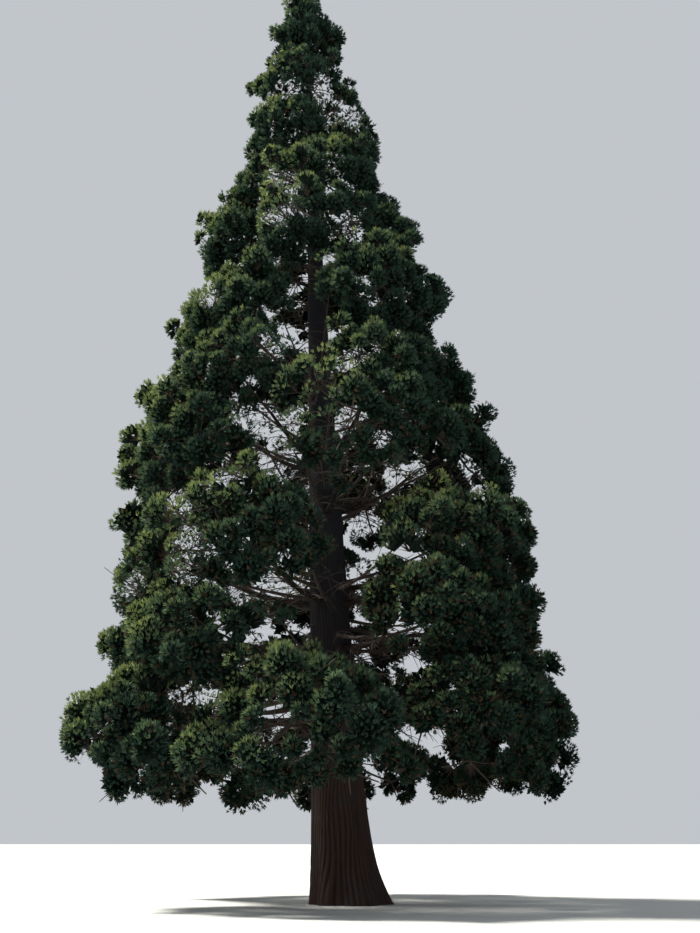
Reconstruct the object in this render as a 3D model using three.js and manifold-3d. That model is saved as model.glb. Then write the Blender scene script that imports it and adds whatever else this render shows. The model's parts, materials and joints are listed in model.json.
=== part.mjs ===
// Giant sequoia, a whole garden tree, as an assembly of separate solids.
// Units are millimetres, +Z is up, and the tree stands on the level plane z = 0.
// The front faces -Y. The origin is the middle of the flat cut under the trunk.

import * as THREE from 'three';
import { mergeVertices } from 'three/addons/utils/BufferGeometryUtils.js';
import Module from 'manifold-3d';

const wasm = await Module();
wasm.setup();

// Driving sizes of the trunk
const TRUNK_TIP_HEIGHT = 27200;
const TRUNK_BASE_RADIUS = 740;
const TRUNK_TIP_RADIUS = 16;
const TRUNK_TAPER = 1.18;
const FLARE_RADIUS = 260;
const FLARE_HEIGHT = 900;
const FLARE_BEARING = -10;
const FLARE_BIAS = 0.8;
const FLUTE_COUNT = 6;
const FLUTE_DEPTH_AT_FOOT = 0.07;
const FLUTE_DEPTH_ABOVE = 0.02;
const FLUTE_FADE_HEIGHT = 2200;
const FLUTE_TWIST = 0.00009;
const TRUNK_SIDES = 24;
const TRUNK_SPANS = 15;
const TRUNK_SPAN_POWER = 1.9;

// The trunk leans to -X and straightens a little towards its tip
const LEAN_SLOPE = -0.052;
const LEAN_RECOVERY = 0.28e-6;

// Clearances between separate solids
const JOINT_GAP = 0.3;
const TRUNK_CUT_OFFSET = 0.4;
const CELL_GAP = 24;
const LIMB_MARGIN = 45;
const CORE_LIMB_MARGIN = 40;
const TRUNK_SEGMENT = 1500;
const TREE_TOP = 27350;

// Tiers of foliage, lowest first. Height is that of the tier's middle, reach is from the trunk's
// axis to the outer tips, bearing is the first mass's, counted from +X towards +Y, and rise is how
// far a limb climbs for each unit that it runs outwards.
const TIERS = [
  { name: 'skirt', height: 4380, masses: 6, bearing: 202, reach: 7050, rise: -0.16, twigs: 9 },
  { name: 'lower', height: 6700, masses: 5, bearing: 164, reach: 6650, rise: 0.02, twigs: 7 },
  { name: 'broad', height: 8690, masses: 5, bearing: 172, reach: 6100, rise: 0.22, twigs: 7 },
  { name: 'belt', height: 11590, masses: 5, bearing: 148, reach: 5750, rise: 0.4, twigs: 8 },
  { name: 'middle', height: 13400, masses: 5, bearing: 157, reach: 5050, rise: 0.5, twigs: 8 },
  { name: 'shoulder', height: 15570, masses: 4, bearing: 225, reach: 4350, rise: 0.55, twigs: 7 },
  { name: 'upper', height: 18000, masses: 4, bearing: 181, reach: 3350, rise: 0.6, twigs: 7 },
  { name: 'high', height: 19620, masses: 3, bearing: 172, reach: 2700, rise: 0.6, twigs: 7 },
  { name: 'narrow', height: 21480, masses: 3, bearing: 124, reach: 2150, rise: 0.6, twigs: 7 },
  { name: 'top', height: 23160, masses: 2, bearing: 231, reach: 1650, rise: 0.6, twigs: 7 },
];
const TIERS_ON_BOUGHS = 3;
const BEARING_JITTER = 8;
const HEIGHT_JITTER = 450;
const REACH_JITTER = 0.03;
const REACH_BIAS_TO_LEFT = 0.05;

// A mass is an egg of foliage: its half width along the reach, across it and upwards
const RADIAL_SHARE = 0.3;
const RADIAL_EXTRA = 320;
const ACROSS_FULLNESS = 1.2;
const TALL_SHARE = 0.94;
const TALL_LIMIT = 1.5;
const CROWN_FOOT_HEIGHT = 2050;

// The leader mass stands round the trunk's tip
const LEADER_HEIGHT = 25600;
const LEADER_HALF_WIDTH = 1120;
const LEADER_HALF_HEIGHT = 1600;
const LEADER_TWIGS = 13;
const LEADER_SEED = 90001;

// Steps between the seeds of neighbouring tiers and masses
const PLACE_SEED_BY_TIER = 2909;
const PLACE_SEED_BY_MASS = 347;
const MASS_SEED_BY_TIER = 7001;
const MASS_SEED_BY_MASS = 211;

// Limbs, as boughs of their own or as the stem of a mass
const LIMB_RADIUS_PER_REACH = 0.0135;
const LIMB_RADIUS_LEAST = 34;
const LIMB_TAPER = 0.45;
const LIMB_SAG = 0.09;
const LIMB_END_SHARE = 0.7;
const BOUGH_SIDES = 6;
const BOUGH_SPANS = 4;
const STEM_SIDES = 5;
const STEM_SPANS = 3;
const INNER_STEM_SIDES = 3;
const STEM_PAST_CENTRE = 0.12;

// Core of a mass
const CORE_SHARE = 0.68;
const CORE_LUMP = 0.13;
const CORE_CELL_SHARE = 0.84;
const CORE_PHASE_PER_SEED = 0.37;
const CORE_WAVE_NUMBERS = [3.1, 3.7, 4.3];
const CORE_WAVE_PHASES = [1, 1.7, 2.3];

// Twigs and the sprays of needles on them
const TWIG_SIDES = 3;
const TWIG_RADIUS_SHARE = 0.06;
const TWIG_ROOT_SHARE = 0.3;
const TWIG_TIP_IN_SPRAY = 0.35;
const SPRAY_ROOT_SHARES = [0.8, 0.86];
const SPRAY_LENGTH_SHARE = 0.98;
const SPRAY_LENGTH_VARIATION = 0.14;
const SPRAY_HALF_WIDTH = 0.46;
const SPRAY_HALF_THICKNESS = 0.045;
const SPRAY_TILT = 0.9;
const SPRAY_TILT_VARIATION = 0.3;
const SPRAY_ROLL = 0.45;
const SPRAY_SHRINK = 0.88;
const SPRAY_TRIES = 6;
const FORK_TRIES = 6;
const SPRAY_OVERREACH = 1.1;
const INWARD_LIMIT = -0.45;

// Outline of a spray, as shares of its length and of its half width, from the root to the tip
const SPRAY_TEETH = [
  [0.36, 1.0],
  [0.56, 0.42],
];
const SPRAY_WAIST = 0.46;

const MERGE_DISTANCE = 1e-4;
const LEAST_FACING = 1e-6;
const STEEP = 0.95;
const GOLDEN_ANGLE = Math.PI * (3 - Math.sqrt(5));
const DEGREE = Math.PI / 180;
const UP = new THREE.Vector3(0, 0, 1);
const SIDE = new THREE.Vector3(1, 0, 0);

// Colours

const BARK = { color: 0x4a372e, roughness: 0.95, metalness: 0 };
const BOUGH_BARK = { color: 0x54402f, roughness: 0.92, metalness: 0 };
const FOLIAGE = { color: 0x55654a, roughness: 0.85, metalness: 0 };

// Seeded numbers between 0 and 1

function seededDraw(seed) {
  let state = seed >>> 0;
  return () => {
    state = (state + 0x6d2b79f5) >>> 0;
    let mixed = Math.imul(state ^ (state >>> 15), state | 1);
    mixed ^= mixed + Math.imul(mixed ^ (mixed >>> 7), mixed | 61);
    return ((mixed ^ (mixed >>> 14)) >>> 0) / 4294967296;
  };
}

function spread(draw, amount) {
  return (2 * draw() - 1) * amount;
}

// Closed meshes from rings of points

function closedMesh(points, triangles) {
  const geometry = new THREE.BufferGeometry();
  const positions = points.flatMap((point) => [point.x, point.y, point.z]);
  geometry.setAttribute('position', new THREE.Float32BufferAttribute(positions, 3));
  geometry.setIndex(triangles);
  return geometry;
}

function loft(rings) {
  const sides = rings[0].length;
  const points = rings.flat();
  const triangles = [];
  for (let ring = 0; ring + 1 < rings.length; ring += 1) {
    for (let side = 0; side < sides; side += 1) {
      const next = (side + 1) % sides;
      const low = ring * sides;
      const high = low + sides;
      triangles.push(low + side, low + next, high + next);
      triangles.push(low + side, high + next, high + side);
    }
  }
  const last = (rings.length - 1) * sides;
  for (let side = 1; side + 1 < sides; side += 1) {
    triangles.push(0, side + 1, side);
    triangles.push(last, last + side, last + side + 1);
  }
  return closedMesh(points, triangles);
}

function ringAt(centre, along, radius, sides) {
  const helper = Math.abs(along.z) > STEEP ? SIDE : UP;
  const across = new THREE.Vector3().crossVectors(along, helper).normalize();
  const over = new THREE.Vector3().crossVectors(along, across).normalize();
  return Array.from({ length: sides }, (_, side) => {
    const turn = (2 * Math.PI * side) / sides;
    return centre.clone()
      .addScaledVector(across, radius * Math.cos(turn))
      .addScaledVector(over, radius * Math.sin(turn));
  });
}

// Solids that can be joined and cut

function toSolid(geometry) {
  const shape = geometry.clone();
  shape.deleteAttribute('normal');
  shape.deleteAttribute('uv');
  const merged = mergeVertices(shape, MERGE_DISTANCE);
  return new wasm.Manifold(new wasm.Mesh({
    numProp: 3,
    vertProperties: new Float32Array(merged.attributes.position.array),
    triVerts: new Uint32Array(merged.index.array),
  }));
}

function toGeometry(solid) {
  const mesh = solid.getMesh();
  const geometry = new THREE.BufferGeometry();
  geometry.setAttribute('position', new THREE.Float32BufferAttribute(mesh.vertProperties, 3));
  geometry.setIndex(Array.from(mesh.triVerts));
  return geometry;
}

// The largest piece of a solid, without scraps or the walls of sealed hollows
function mainPiece(solid) {
  const pieces = solid.decompose();
  return pieces.reduce((best, piece) => (piece.volume() > best.volume() ? piece : best));
}

// Trunk

function axisPoint(height) {
  return new THREE.Vector3(LEAN_SLOPE * height + LEAN_RECOVERY * height * height, 0, height);
}

function trunkRadius(height, bearing) {
  const left = Math.max(0, 1 - height / TRUNK_TIP_HEIGHT);
  const shaft = TRUNK_TIP_RADIUS + (TRUNK_BASE_RADIUS - TRUNK_TIP_RADIUS) * left ** TRUNK_TAPER;
  const flareSide = 1 + FLARE_BIAS * Math.cos(bearing - FLARE_BEARING * DEGREE);
  const flare = FLARE_RADIUS * flareSide * Math.exp(-height / FLARE_HEIGHT);
  const depth = FLUTE_DEPTH_ABOVE + FLUTE_DEPTH_AT_FOOT * Math.exp(-height / FLUTE_FADE_HEIGHT);
  const flute = 1 + depth * Math.cos(FLUTE_COUNT * bearing + FLUTE_TWIST * height);
  return (shaft + flare) * flute;
}

function widestTrunk(height) {
  return trunkRadius(height, FLARE_BEARING * DEGREE) * (1 + FLUTE_DEPTH_ABOVE);
}

function trunkShape(offset) {
  const rings = [];
  for (let span = 0; span <= TRUNK_SPANS; span += 1) {
    const share = (span / TRUNK_SPANS) ** TRUNK_SPAN_POWER;
    const height = share * TRUNK_TIP_HEIGHT;
    const lift = span === 0 ? -offset : span === TRUNK_SPANS ? offset : 0;
    rings.push(Array.from({ length: TRUNK_SIDES }, (_, side) => {
      const bearing = (2 * Math.PI * side) / TRUNK_SIDES;
      const radius = trunkRadius(height, bearing) + offset;
      const point = axisPoint(height);
      point.x += radius * Math.cos(bearing);
      point.y += radius * Math.sin(bearing);
      point.z += lift;
      return point;
    }));
  }
  return loft(rings);
}

// Places and sizes of the masses

function eggRadius(mass, direction) {
  const radial = direction.dot(mass.outward) / mass.radial;
  const across = direction.dot(mass.sideways) / mass.across;
  const tall = direction.z / mass.tall;
  return 1 / Math.sqrt(radial * radial + across * across + tall * tall);
}

function planTierMass(tier, level, index) {
  const draw = seededDraw(PLACE_SEED_BY_TIER * (level + 1) + PLACE_SEED_BY_MASS * index);
  const evenBearing = tier.bearing + (360 * index) / tier.masses;
  const bearing = (evenBearing + spread(draw, BEARING_JITTER)) * DEGREE;
  const height = tier.height + spread(draw, HEIGHT_JITTER);
  const bias = REACH_BIAS_TO_LEFT * Math.cos(bearing);
  const reach = tier.reach * (1 + spread(draw, REACH_JITTER) - bias);
  const radial = RADIAL_SHARE * reach + RADIAL_EXTRA;
  const fromAxis = reach - radial;
  const above = level + 1 < TIERS.length ? TIERS[level + 1].height : LEADER_HEIGHT;
  const room = level > 0
    ? (TALL_SHARE * (above - TIERS[level - 1].height)) / 2
    : height - CROWN_FOOT_HEIGHT;
  const outward = new THREE.Vector3(Math.cos(bearing), Math.sin(bearing), 0);
  const mass = {
    name: `${tier.name}_mass_${index + 1}`,
    boughName: level < TIERS_ON_BOUGHS ? `${tier.name}_bough_${index + 1}` : null,
    seed: MASS_SEED_BY_TIER * (level + 1) + MASS_SEED_BY_MASS * index,
    twigs: tier.twigs,
    outward,
    sideways: new THREE.Vector3(-outward.y, outward.x, 0),
    centre: axisPoint(height).addScaledVector(outward, fromAxis),
    radial,
    across: (ACROSS_FULLNESS * Math.PI * fromAxis) / tier.masses,
    tall: Math.min(room, TALL_LIMIT * radial),
  };
  mass.limb = planLimb(mass, reach, height - tier.rise * fromAxis, fromAxis);
  return mass;
}

function planLimb(mass, reach, rootHeight, run) {
  const root = axisPoint(rootHeight);
  const inward = root.clone().sub(mass.centre).normalize();
  const tip = mass.centre.clone().addScaledVector(inward, LIMB_END_SHARE * eggRadius(mass, inward));
  const bend = root.clone().lerp(tip, 0.5).addScaledVector(UP, -LIMB_SAG * run);
  const thick = Math.max(LIMB_RADIUS_LEAST, LIMB_RADIUS_PER_REACH * reach + LIMB_RADIUS_LEAST / 2);
  return {
    curve: new THREE.QuadraticBezierCurve3(root, bend, tip),
    rootRadius: thick,
    tipRadius: thick * LIMB_TAPER,
    tip,
    along: tip.clone().sub(bend).normalize(),
  };
}

function planLeader() {
  return {
    name: 'leader_mass',
    boughName: null,
    seed: LEADER_SEED,
    twigs: LEADER_TWIGS,
    outward: new THREE.Vector3(1, 0, 0),
    sideways: new THREE.Vector3(0, 1, 0),
    centre: axisPoint(LEADER_HEIGHT),
    radial: LEADER_HALF_WIDTH,
    across: LEADER_HALF_WIDTH,
    tall: LEADER_HALF_HEIGHT,
    limb: null,
  };
}

function planMasses() {
  const masses = [];
  TIERS.forEach((tier, level) => {
    for (let index = 0; index < tier.masses; index += 1) {
      masses.push(planTierMass(tier, level, index));
    }
  });
  masses.push(planLeader());
  return masses;
}

// The space that a mass keeps to: a convex cell, as planes with the inside behind them

function clearOfSegment(centre, from, to, radius) {
  const nearest = new THREE.Vector3();
  new THREE.Line3(from, to).closestPointToPoint(centre, true, nearest);
  const normal = nearest.clone().sub(centre);
  const distance = normal.length();
  normal.divideScalar(distance);
  return { normal, offset: normal.dot(centre) + distance - radius };
}

function limbRadius(limb, share) {
  return limb.rootRadius + (limb.tipRadius - limb.rootRadius) * share;
}

function limbSegments(limb) {
  const points = limb.curve.getPoints(BOUGH_SPANS);
  return points.slice(1).map((point, index) => {
    return { from: points[index], to: point, radius: limbRadius(limb, index / BOUGH_SPANS) };
  });
}

function trunkSegments() {
  const segments = [];
  for (let height = 0; height < TRUNK_TIP_HEIGHT; height += TRUNK_SEGMENT) {
    const top = Math.min(height + TRUNK_SEGMENT, TRUNK_TIP_HEIGHT);
    segments.push({ from: axisPoint(height), to: axisPoint(top), radius: widestTrunk(height) });
  }
  return segments;
}

function cellOf(mass, masses) {
  const planes = [];
  for (const other of masses) {
    if (other === mass) continue;
    const normal = other.centre.clone().sub(mass.centre);
    const distance = normal.length();
    normal.divideScalar(distance);
    const own = eggRadius(mass, normal);
    const theirs = eggRadius(other, normal);
    const share = (distance * own) / (own + theirs) - CELL_GAP / 2;
    planes.push({ normal, offset: normal.dot(mass.centre) + share });
    if (other.limb) {
      for (const { from, to, radius } of limbSegments(other.limb)) {
        planes.push(clearOfSegment(mass.centre, from, to, radius + LIMB_MARGIN));
      }
    }
  }
  if (mass.limb) {
    for (const { from, to, radius } of trunkSegments()) {
      planes.push(clearOfSegment(mass.centre, from, to, radius + LIMB_MARGIN));
    }
  }
  if (mass.boughName) {
    const { tip, along } = mass.limb;
    planes.push({ normal: along.clone().negate(), offset: -along.dot(tip) - CORE_LIMB_MARGIN });
  }
  planes.push({ normal: UP.clone(), offset: TREE_TOP });
  return planes;
}

function roomTowards(mass, direction) {
  let room = Infinity;
  for (const { normal, offset } of mass.cell) {
    const facing = normal.dot(direction);
    if (facing > LEAST_FACING) {
      room = Math.min(room, (offset - normal.dot(mass.centre)) / facing);
    }
  }
  return Math.max(0, room);
}

function insideCell(mass, point) {
  return mass.cell.every(({ normal, offset }) => normal.dot(point) <= offset);
}

// Pieces of a mass, in a frame whose origin is the mass's centre

function coreRadius(mass, direction) {
  const phase = mass.seed * CORE_PHASE_PER_SEED;
  const waves = direction.toArray().reduce((sum, part, axis) => {
    return sum + Math.sin(CORE_WAVE_NUMBERS[axis] * part + CORE_WAVE_PHASES[axis] * phase);
  }, 0);
  const lumpy = CORE_SHARE * eggRadius(mass, direction) * (1 + (CORE_LUMP * waves) / 2);
  return Math.min(lumpy, CORE_CELL_SHARE * roomTowards(mass, direction));
}

function coreShape(mass) {
  const ball = new THREE.OctahedronGeometry(1, 1);
  ball.deleteAttribute('normal');
  ball.deleteAttribute('uv');
  const core = mergeVertices(ball, MERGE_DISTANCE);
  const position = core.attributes.position;
  const direction = new THREE.Vector3();
  for (let vertex = 0; vertex < position.count; vertex += 1) {
    direction.fromBufferAttribute(position, vertex).normalize();
    const radius = coreRadius(mass, direction);
    position.setXYZ(vertex, direction.x * radius, direction.y * radius, direction.z * radius);
  }
  return core;
}

// A three-sided twig that tapers to a point
function twigShape(root, end, radius) {
  const along = end.clone().sub(root).normalize();
  const points = [...ringAt(root, along, radius, TWIG_SIDES), end];
  const triangles = [2, 1, 0];
  for (let side = 0; side < TWIG_SIDES; side += 1) {
    triangles.push(side, (side + 1) % TWIG_SIDES, TWIG_SIDES);
  }
  return closedMesh(points, triangles);
}

function sprayRim() {
  const left = SPRAY_TEETH;
  const right = SPRAY_TEETH.map(([along, across]) => [along, -across]).reverse();
  return [[0, 0], ...left, [1, 0], ...right];
}

// The rim of a spray, and its two middle points, one on each face
function sprayPoints(root, along, across, length) {
  const over = new THREE.Vector3().crossVectors(along, across);
  const place = ([share, side]) => root.clone()
    .addScaledVector(along, share * length)
    .addScaledVector(across, side * SPRAY_HALF_WIDTH * length);
  const lift = SPRAY_HALF_THICKNESS * length;
  const middle = place([SPRAY_WAIST, 0]);
  return [
    ...sprayRim().map(place),
    middle.clone().addScaledVector(over, lift),
    middle.clone().addScaledVector(over, -lift),
  ];
}

function sprayShape(points) {
  const rim = points.length - 2;
  const triangles = [];
  for (let edge = 0; edge < rim; edge += 1) {
    const next = (edge + 1) % rim;
    triangles.push(rim, next, edge);
    triangles.push(rim + 1, edge, next);
  }
  return closedMesh(points, triangles);
}

function twigDirections(mass, draw) {
  const directions = [];
  const turn = 2 * Math.PI * draw();
  for (let index = 0; index < mass.twigs; index += 1) {
    const rise = 1 - (2 * (index + 0.5)) / mass.twigs;
    const flat = Math.sqrt(1 - rise * rise);
    const bearing = turn + GOLDEN_ANGLE * index;
    const direction = new THREE.Vector3(flat * Math.cos(bearing), flat * Math.sin(bearing), rise);
    const outwardness = mass.limb ? direction.dot(mass.outward) : 1;
    if (outwardness > INWARD_LIMIT) directions.push(direction);
  }
  return directions;
}

function keepsToItsSpace(mass, points) {
  return points.every((point) => {
    const farthest = SPRAY_OVERREACH * eggRadius(mass, point.clone().normalize());
    return point.length() <= farthest && insideCell(mass, point.clone().add(mass.centre));
  });
}

// The longest spray that keeps to the mass's space, or null
function sprayFrom(mass, root, direction, aside, draw) {
  const tilt = SPRAY_TILT + spread(draw, SPRAY_TILT_VARIATION);
  const along = direction.clone()
    .multiplyScalar(Math.cos(tilt))
    .addScaledVector(aside, Math.sin(tilt));
  const level = new THREE.Vector3().crossVectors(direction, aside).normalize();
  const standing = new THREE.Vector3().crossVectors(along, level);
  const roll = spread(draw, SPRAY_ROLL);
  const across = level.multiplyScalar(Math.cos(roll)).addScaledVector(standing, Math.sin(roll));
  const size = Math.max(mass.radial, mass.tall);
  let length = SPRAY_LENGTH_SHARE * size * (1 + spread(draw, SPRAY_LENGTH_VARIATION));
  for (let attempt = 0; attempt < SPRAY_TRIES; attempt += 1) {
    const points = sprayPoints(root, along, across, length);
    if (keepsToItsSpace(mass, points)) return { along, length, points };
    length *= SPRAY_SHRINK;
  }
  return null;
}

function drawAside(direction, draw) {
  const helper = new THREE.Vector3(spread(draw, 1), spread(draw, 1), spread(draw, 1));
  return helper.addScaledVector(direction, -helper.dot(direction)).normalize();
}

// The sprays that fork from one twig to both sides
function forkedSprays(mass, direction, surface, draw) {
  const aside = drawAside(direction, draw);
  return SPRAY_ROOT_SHARES.map((share, fork) => {
    const root = direction.clone().multiplyScalar(surface * share);
    const side = aside.clone().multiplyScalar(fork % 2 === 0 ? 1 : -1);
    return sprayFrom(mass, root, direction, side, draw);
  }).filter((spray) => spray !== null);
}

// One twig from inside the core with the fullest of a few forks, or nothing where none has room
function twigWithSprays(mass, direction, draw) {
  const surface = coreRadius(mass, direction);
  const forks = Array.from({ length: FORK_TRIES }, () => {
    return forkedSprays(mass, direction, surface, draw);
  });
  const fullness = (sprays) => sprays.reduce((sum, { length }) => sum + length, 0);
  const kept = forks.reduce((best, fork) => (fullness(fork) > fullness(best) ? fork : best));
  if (kept.length === 0) return [];
  const root = direction.clone().multiplyScalar(surface * TWIG_ROOT_SHARE);
  const end = direction.clone().multiplyScalar(surface * SPRAY_ROOT_SHARES[0])
    .addScaledVector(kept[0].along, TWIG_TIP_IN_SPRAY * kept[0].length);
  const twig = twigShape(root, end, TWIG_RADIUS_SHARE * surface);
  return [twig, ...kept.map(({ points }) => sprayShape(points))];
}

// A stem from the trunk or from a bough's tip to past the middle of the core
function stemShape(mass) {
  const { limb, centre } = mass;
  const end = limb.along.clone().multiplyScalar(STEM_PAST_CENTRE * mass.radial);
  if (mass.boughName) {
    const start = limb.tip.clone().addScaledVector(limb.along, JOINT_GAP).sub(centre);
    return loft([
      ringAt(start, limb.along, limb.tipRadius, INNER_STEM_SIDES),
      ringAt(end, limb.along, limb.tipRadius / 2, INNER_STEM_SIDES),
    ]);
  }
  const rings = [];
  for (let span = 0; span <= STEM_SPANS; span += 1) {
    const share = span / STEM_SPANS;
    const point = limb.curve.getPoint(share).sub(centre);
    rings.push(ringAt(point, limb.curve.getTangent(share), limbRadius(limb, share), STEM_SIDES));
  }
  rings.push(ringAt(end, limb.along, limb.tipRadius / 2, STEM_SIDES));
  return loft(rings);
}

function massShape(mass, trunkClearance) {
  const draw = seededDraw(mass.seed);
  let solid = toSolid(coreShape(mass));
  if (mass.limb) solid = solid.add(toSolid(stemShape(mass)));
  for (const direction of twigDirections(mass, draw)) {
    for (const shape of twigWithSprays(mass, direction, draw)) {
      solid = solid.add(toSolid(shape));
    }
  }
  if (!mass.boughName) {
    const { x, y, z } = mass.centre;
    solid = solid.subtract(trunkClearance.translate([-x, -y, -z]));
  }
  return toGeometry(mainPiece(solid));
}

function boughShape(limb, trunkClearance) {
  const rings = [];
  for (let span = 0; span <= BOUGH_SPANS; span += 1) {
    const share = span / BOUGH_SPANS;
    const point = limb.curve.getPoint(share).sub(limb.tip);
    rings.push(ringAt(point, limb.curve.getTangent(share), limbRadius(limb, share), BOUGH_SIDES));
  }
  const { x, y, z } = limb.tip;
  const limbSolid = toSolid(loft(rings)).subtract(trunkClearance.translate([-x, -y, -z]));
  return toGeometry(mainPiece(limbSolid));
}

// Assembly

function addPiece(group, name, geometry, finish, place) {
  const piece = new THREE.Mesh(geometry, new THREE.MeshStandardMaterial(finish));
  piece.name = name;
  piece.position.copy(place);
  group.add(piece);
}

function buildTree() {
  const tree = new THREE.Group();
  const trunkClearance = toSolid(trunkShape(TRUNK_CUT_OFFSET));
  addPiece(tree, 'trunk', trunkShape(0), BARK, new THREE.Vector3());
  const masses = planMasses();
  for (const mass of masses) {
    mass.cell = cellOf(mass, masses);
  }
  for (const mass of masses) {
    if (mass.boughName) {
      const bough = boughShape(mass.limb, trunkClearance);
      addPiece(tree, mass.boughName, bough, BOUGH_BARK, mass.limb.tip);
    }
    addPiece(tree, mass.name, massShape(mass, trunkClearance), FOLIAGE, mass.centre);
  }
  return tree;
}

export default buildTree();
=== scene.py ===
"""Giant sequoia, a whole planted tree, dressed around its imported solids.

The trunk, the boughs and the masses of foliage are planned by the same seeded rule as the solids,
here in metres. The twigs of each mass are then carried on to finer twigs that end in sprays.
The front faces -Y, +Z is up, and the tree stands on the level plane z = 0.
"""

from __future__ import annotations

import json
import logging
import math
from dataclasses import dataclass, field, fields
from enum import Enum
from typing import Any, Sequence

import bpy
import numpy as np
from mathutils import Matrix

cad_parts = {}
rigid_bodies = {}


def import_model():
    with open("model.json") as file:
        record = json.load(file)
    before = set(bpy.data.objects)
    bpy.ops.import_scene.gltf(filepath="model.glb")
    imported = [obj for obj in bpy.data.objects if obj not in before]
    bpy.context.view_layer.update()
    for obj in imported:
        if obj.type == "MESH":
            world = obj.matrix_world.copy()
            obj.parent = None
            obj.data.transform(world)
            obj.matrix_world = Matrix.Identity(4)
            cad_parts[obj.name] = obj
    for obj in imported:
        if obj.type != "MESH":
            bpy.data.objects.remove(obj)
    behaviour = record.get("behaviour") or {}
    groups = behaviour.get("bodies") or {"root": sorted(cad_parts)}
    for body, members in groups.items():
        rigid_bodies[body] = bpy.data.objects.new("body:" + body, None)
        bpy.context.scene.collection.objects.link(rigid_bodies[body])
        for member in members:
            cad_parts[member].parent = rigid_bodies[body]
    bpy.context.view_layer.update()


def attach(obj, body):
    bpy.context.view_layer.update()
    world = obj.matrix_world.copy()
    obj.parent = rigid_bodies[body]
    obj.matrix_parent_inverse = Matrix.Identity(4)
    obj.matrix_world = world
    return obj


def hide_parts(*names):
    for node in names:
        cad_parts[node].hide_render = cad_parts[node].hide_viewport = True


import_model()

LOG = logging.getLogger("giant_sequoia")

Span = tuple[float, float]
Triple = tuple[float, float, float]
Wave = tuple[float, float, float, float]
Segment = tuple[np.ndarray, np.ndarray, float]
Plane = tuple[np.ndarray, float]

UP = np.array([0.0, 0.0, 1.0])
SIDE = np.array([1.0, 0.0, 0.0])
VIEWER = (0.18, -35.0, 1.6)
FULL_TURN = 2 * math.pi
GOLDEN_ANGLE = math.pi * (3 - math.sqrt(5))
SHORTEST = 1e-9
TINY = 1e-6
STEEP = 0.95
BILLOW_SEED = 6
TWIG_SEED = 7
FORM_SEED = 31
SPRAY_TURN_SEED = 11
STALK_TURN_SEED = 5
PIECE_TRIANGLE_LIMIT = 195_000


def unit(vectors: np.ndarray) -> np.ndarray:
    """Vectors scaled to length one, along the last axis."""
    return vectors / np.maximum(np.linalg.norm(vectors, axis=-1, keepdims=True), SHORTEST)


def even_directions(count: int, turn: float, lowest: float = -1.0) -> np.ndarray:
    """Directions spread evenly over a sphere, or over the part of it above a height.

    Args:
        count: How many directions.
        turn: Bearing of the first one, in radians.
        lowest: Sine of the lowest elevation.

    Returns:
        An array of count rows.
    """
    index = np.arange(count)
    rise = 1 - (1 - lowest) * (index + 0.5) / max(count, 1)
    flat = np.sqrt(np.maximum(0.0, 1 - rise * rise))
    bearing = turn + GOLDEN_ANGLE * index
    return np.stack([flat * np.cos(bearing), flat * np.sin(bearing), rise], axis=-1)


def quadratic(start: np.ndarray, bend: np.ndarray, end: np.ndarray, count: int) -> np.ndarray:
    """Points along a quadratic curve from its start, past its control point, to its end."""
    share = np.linspace(0, 1, count)[:, None]
    return (1 - share) ** 2 * start + 2 * share * (1 - share) * bend + share**2 * end


def across_frame(along: np.ndarray) -> tuple[np.ndarray, np.ndarray]:
    """Two directions square to one that is given, and to each other."""
    helper = SIDE if abs(along[2]) > STEEP else UP
    across = unit(np.cross(along, helper))
    return across, np.cross(along, across)


class SeededDraw:
    """The source's seeded numbers between 0 and 1."""

    mask: int = 0xFFFFFFFF
    stride: int = 0x6D2B79F5
    shifts: tuple[int, int, int] = (15, 7, 14)
    mixer: int = 61

    def __init__(self, seed: int) -> None:
        """Starts the row of numbers at a seed."""
        self.state = seed & self.mask

    def next(self) -> float:
        """The next number of the row."""
        first, second, third = self.shifts
        self.state = (self.state + self.stride) & self.mask
        mixed = ((self.state ^ (self.state >> first)) * (self.state | 1)) & self.mask
        step = ((mixed ^ (mixed >> second)) * (mixed | self.mixer)) & self.mask
        mixed ^= (mixed + step) & self.mask
        return (mixed ^ (mixed >> third)) / (self.mask + 1)

    def spread(self, amount: float) -> float:
        """A number between minus and plus an amount."""
        return (2 * self.next() - 1) * amount


# Plan of the tree


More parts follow.
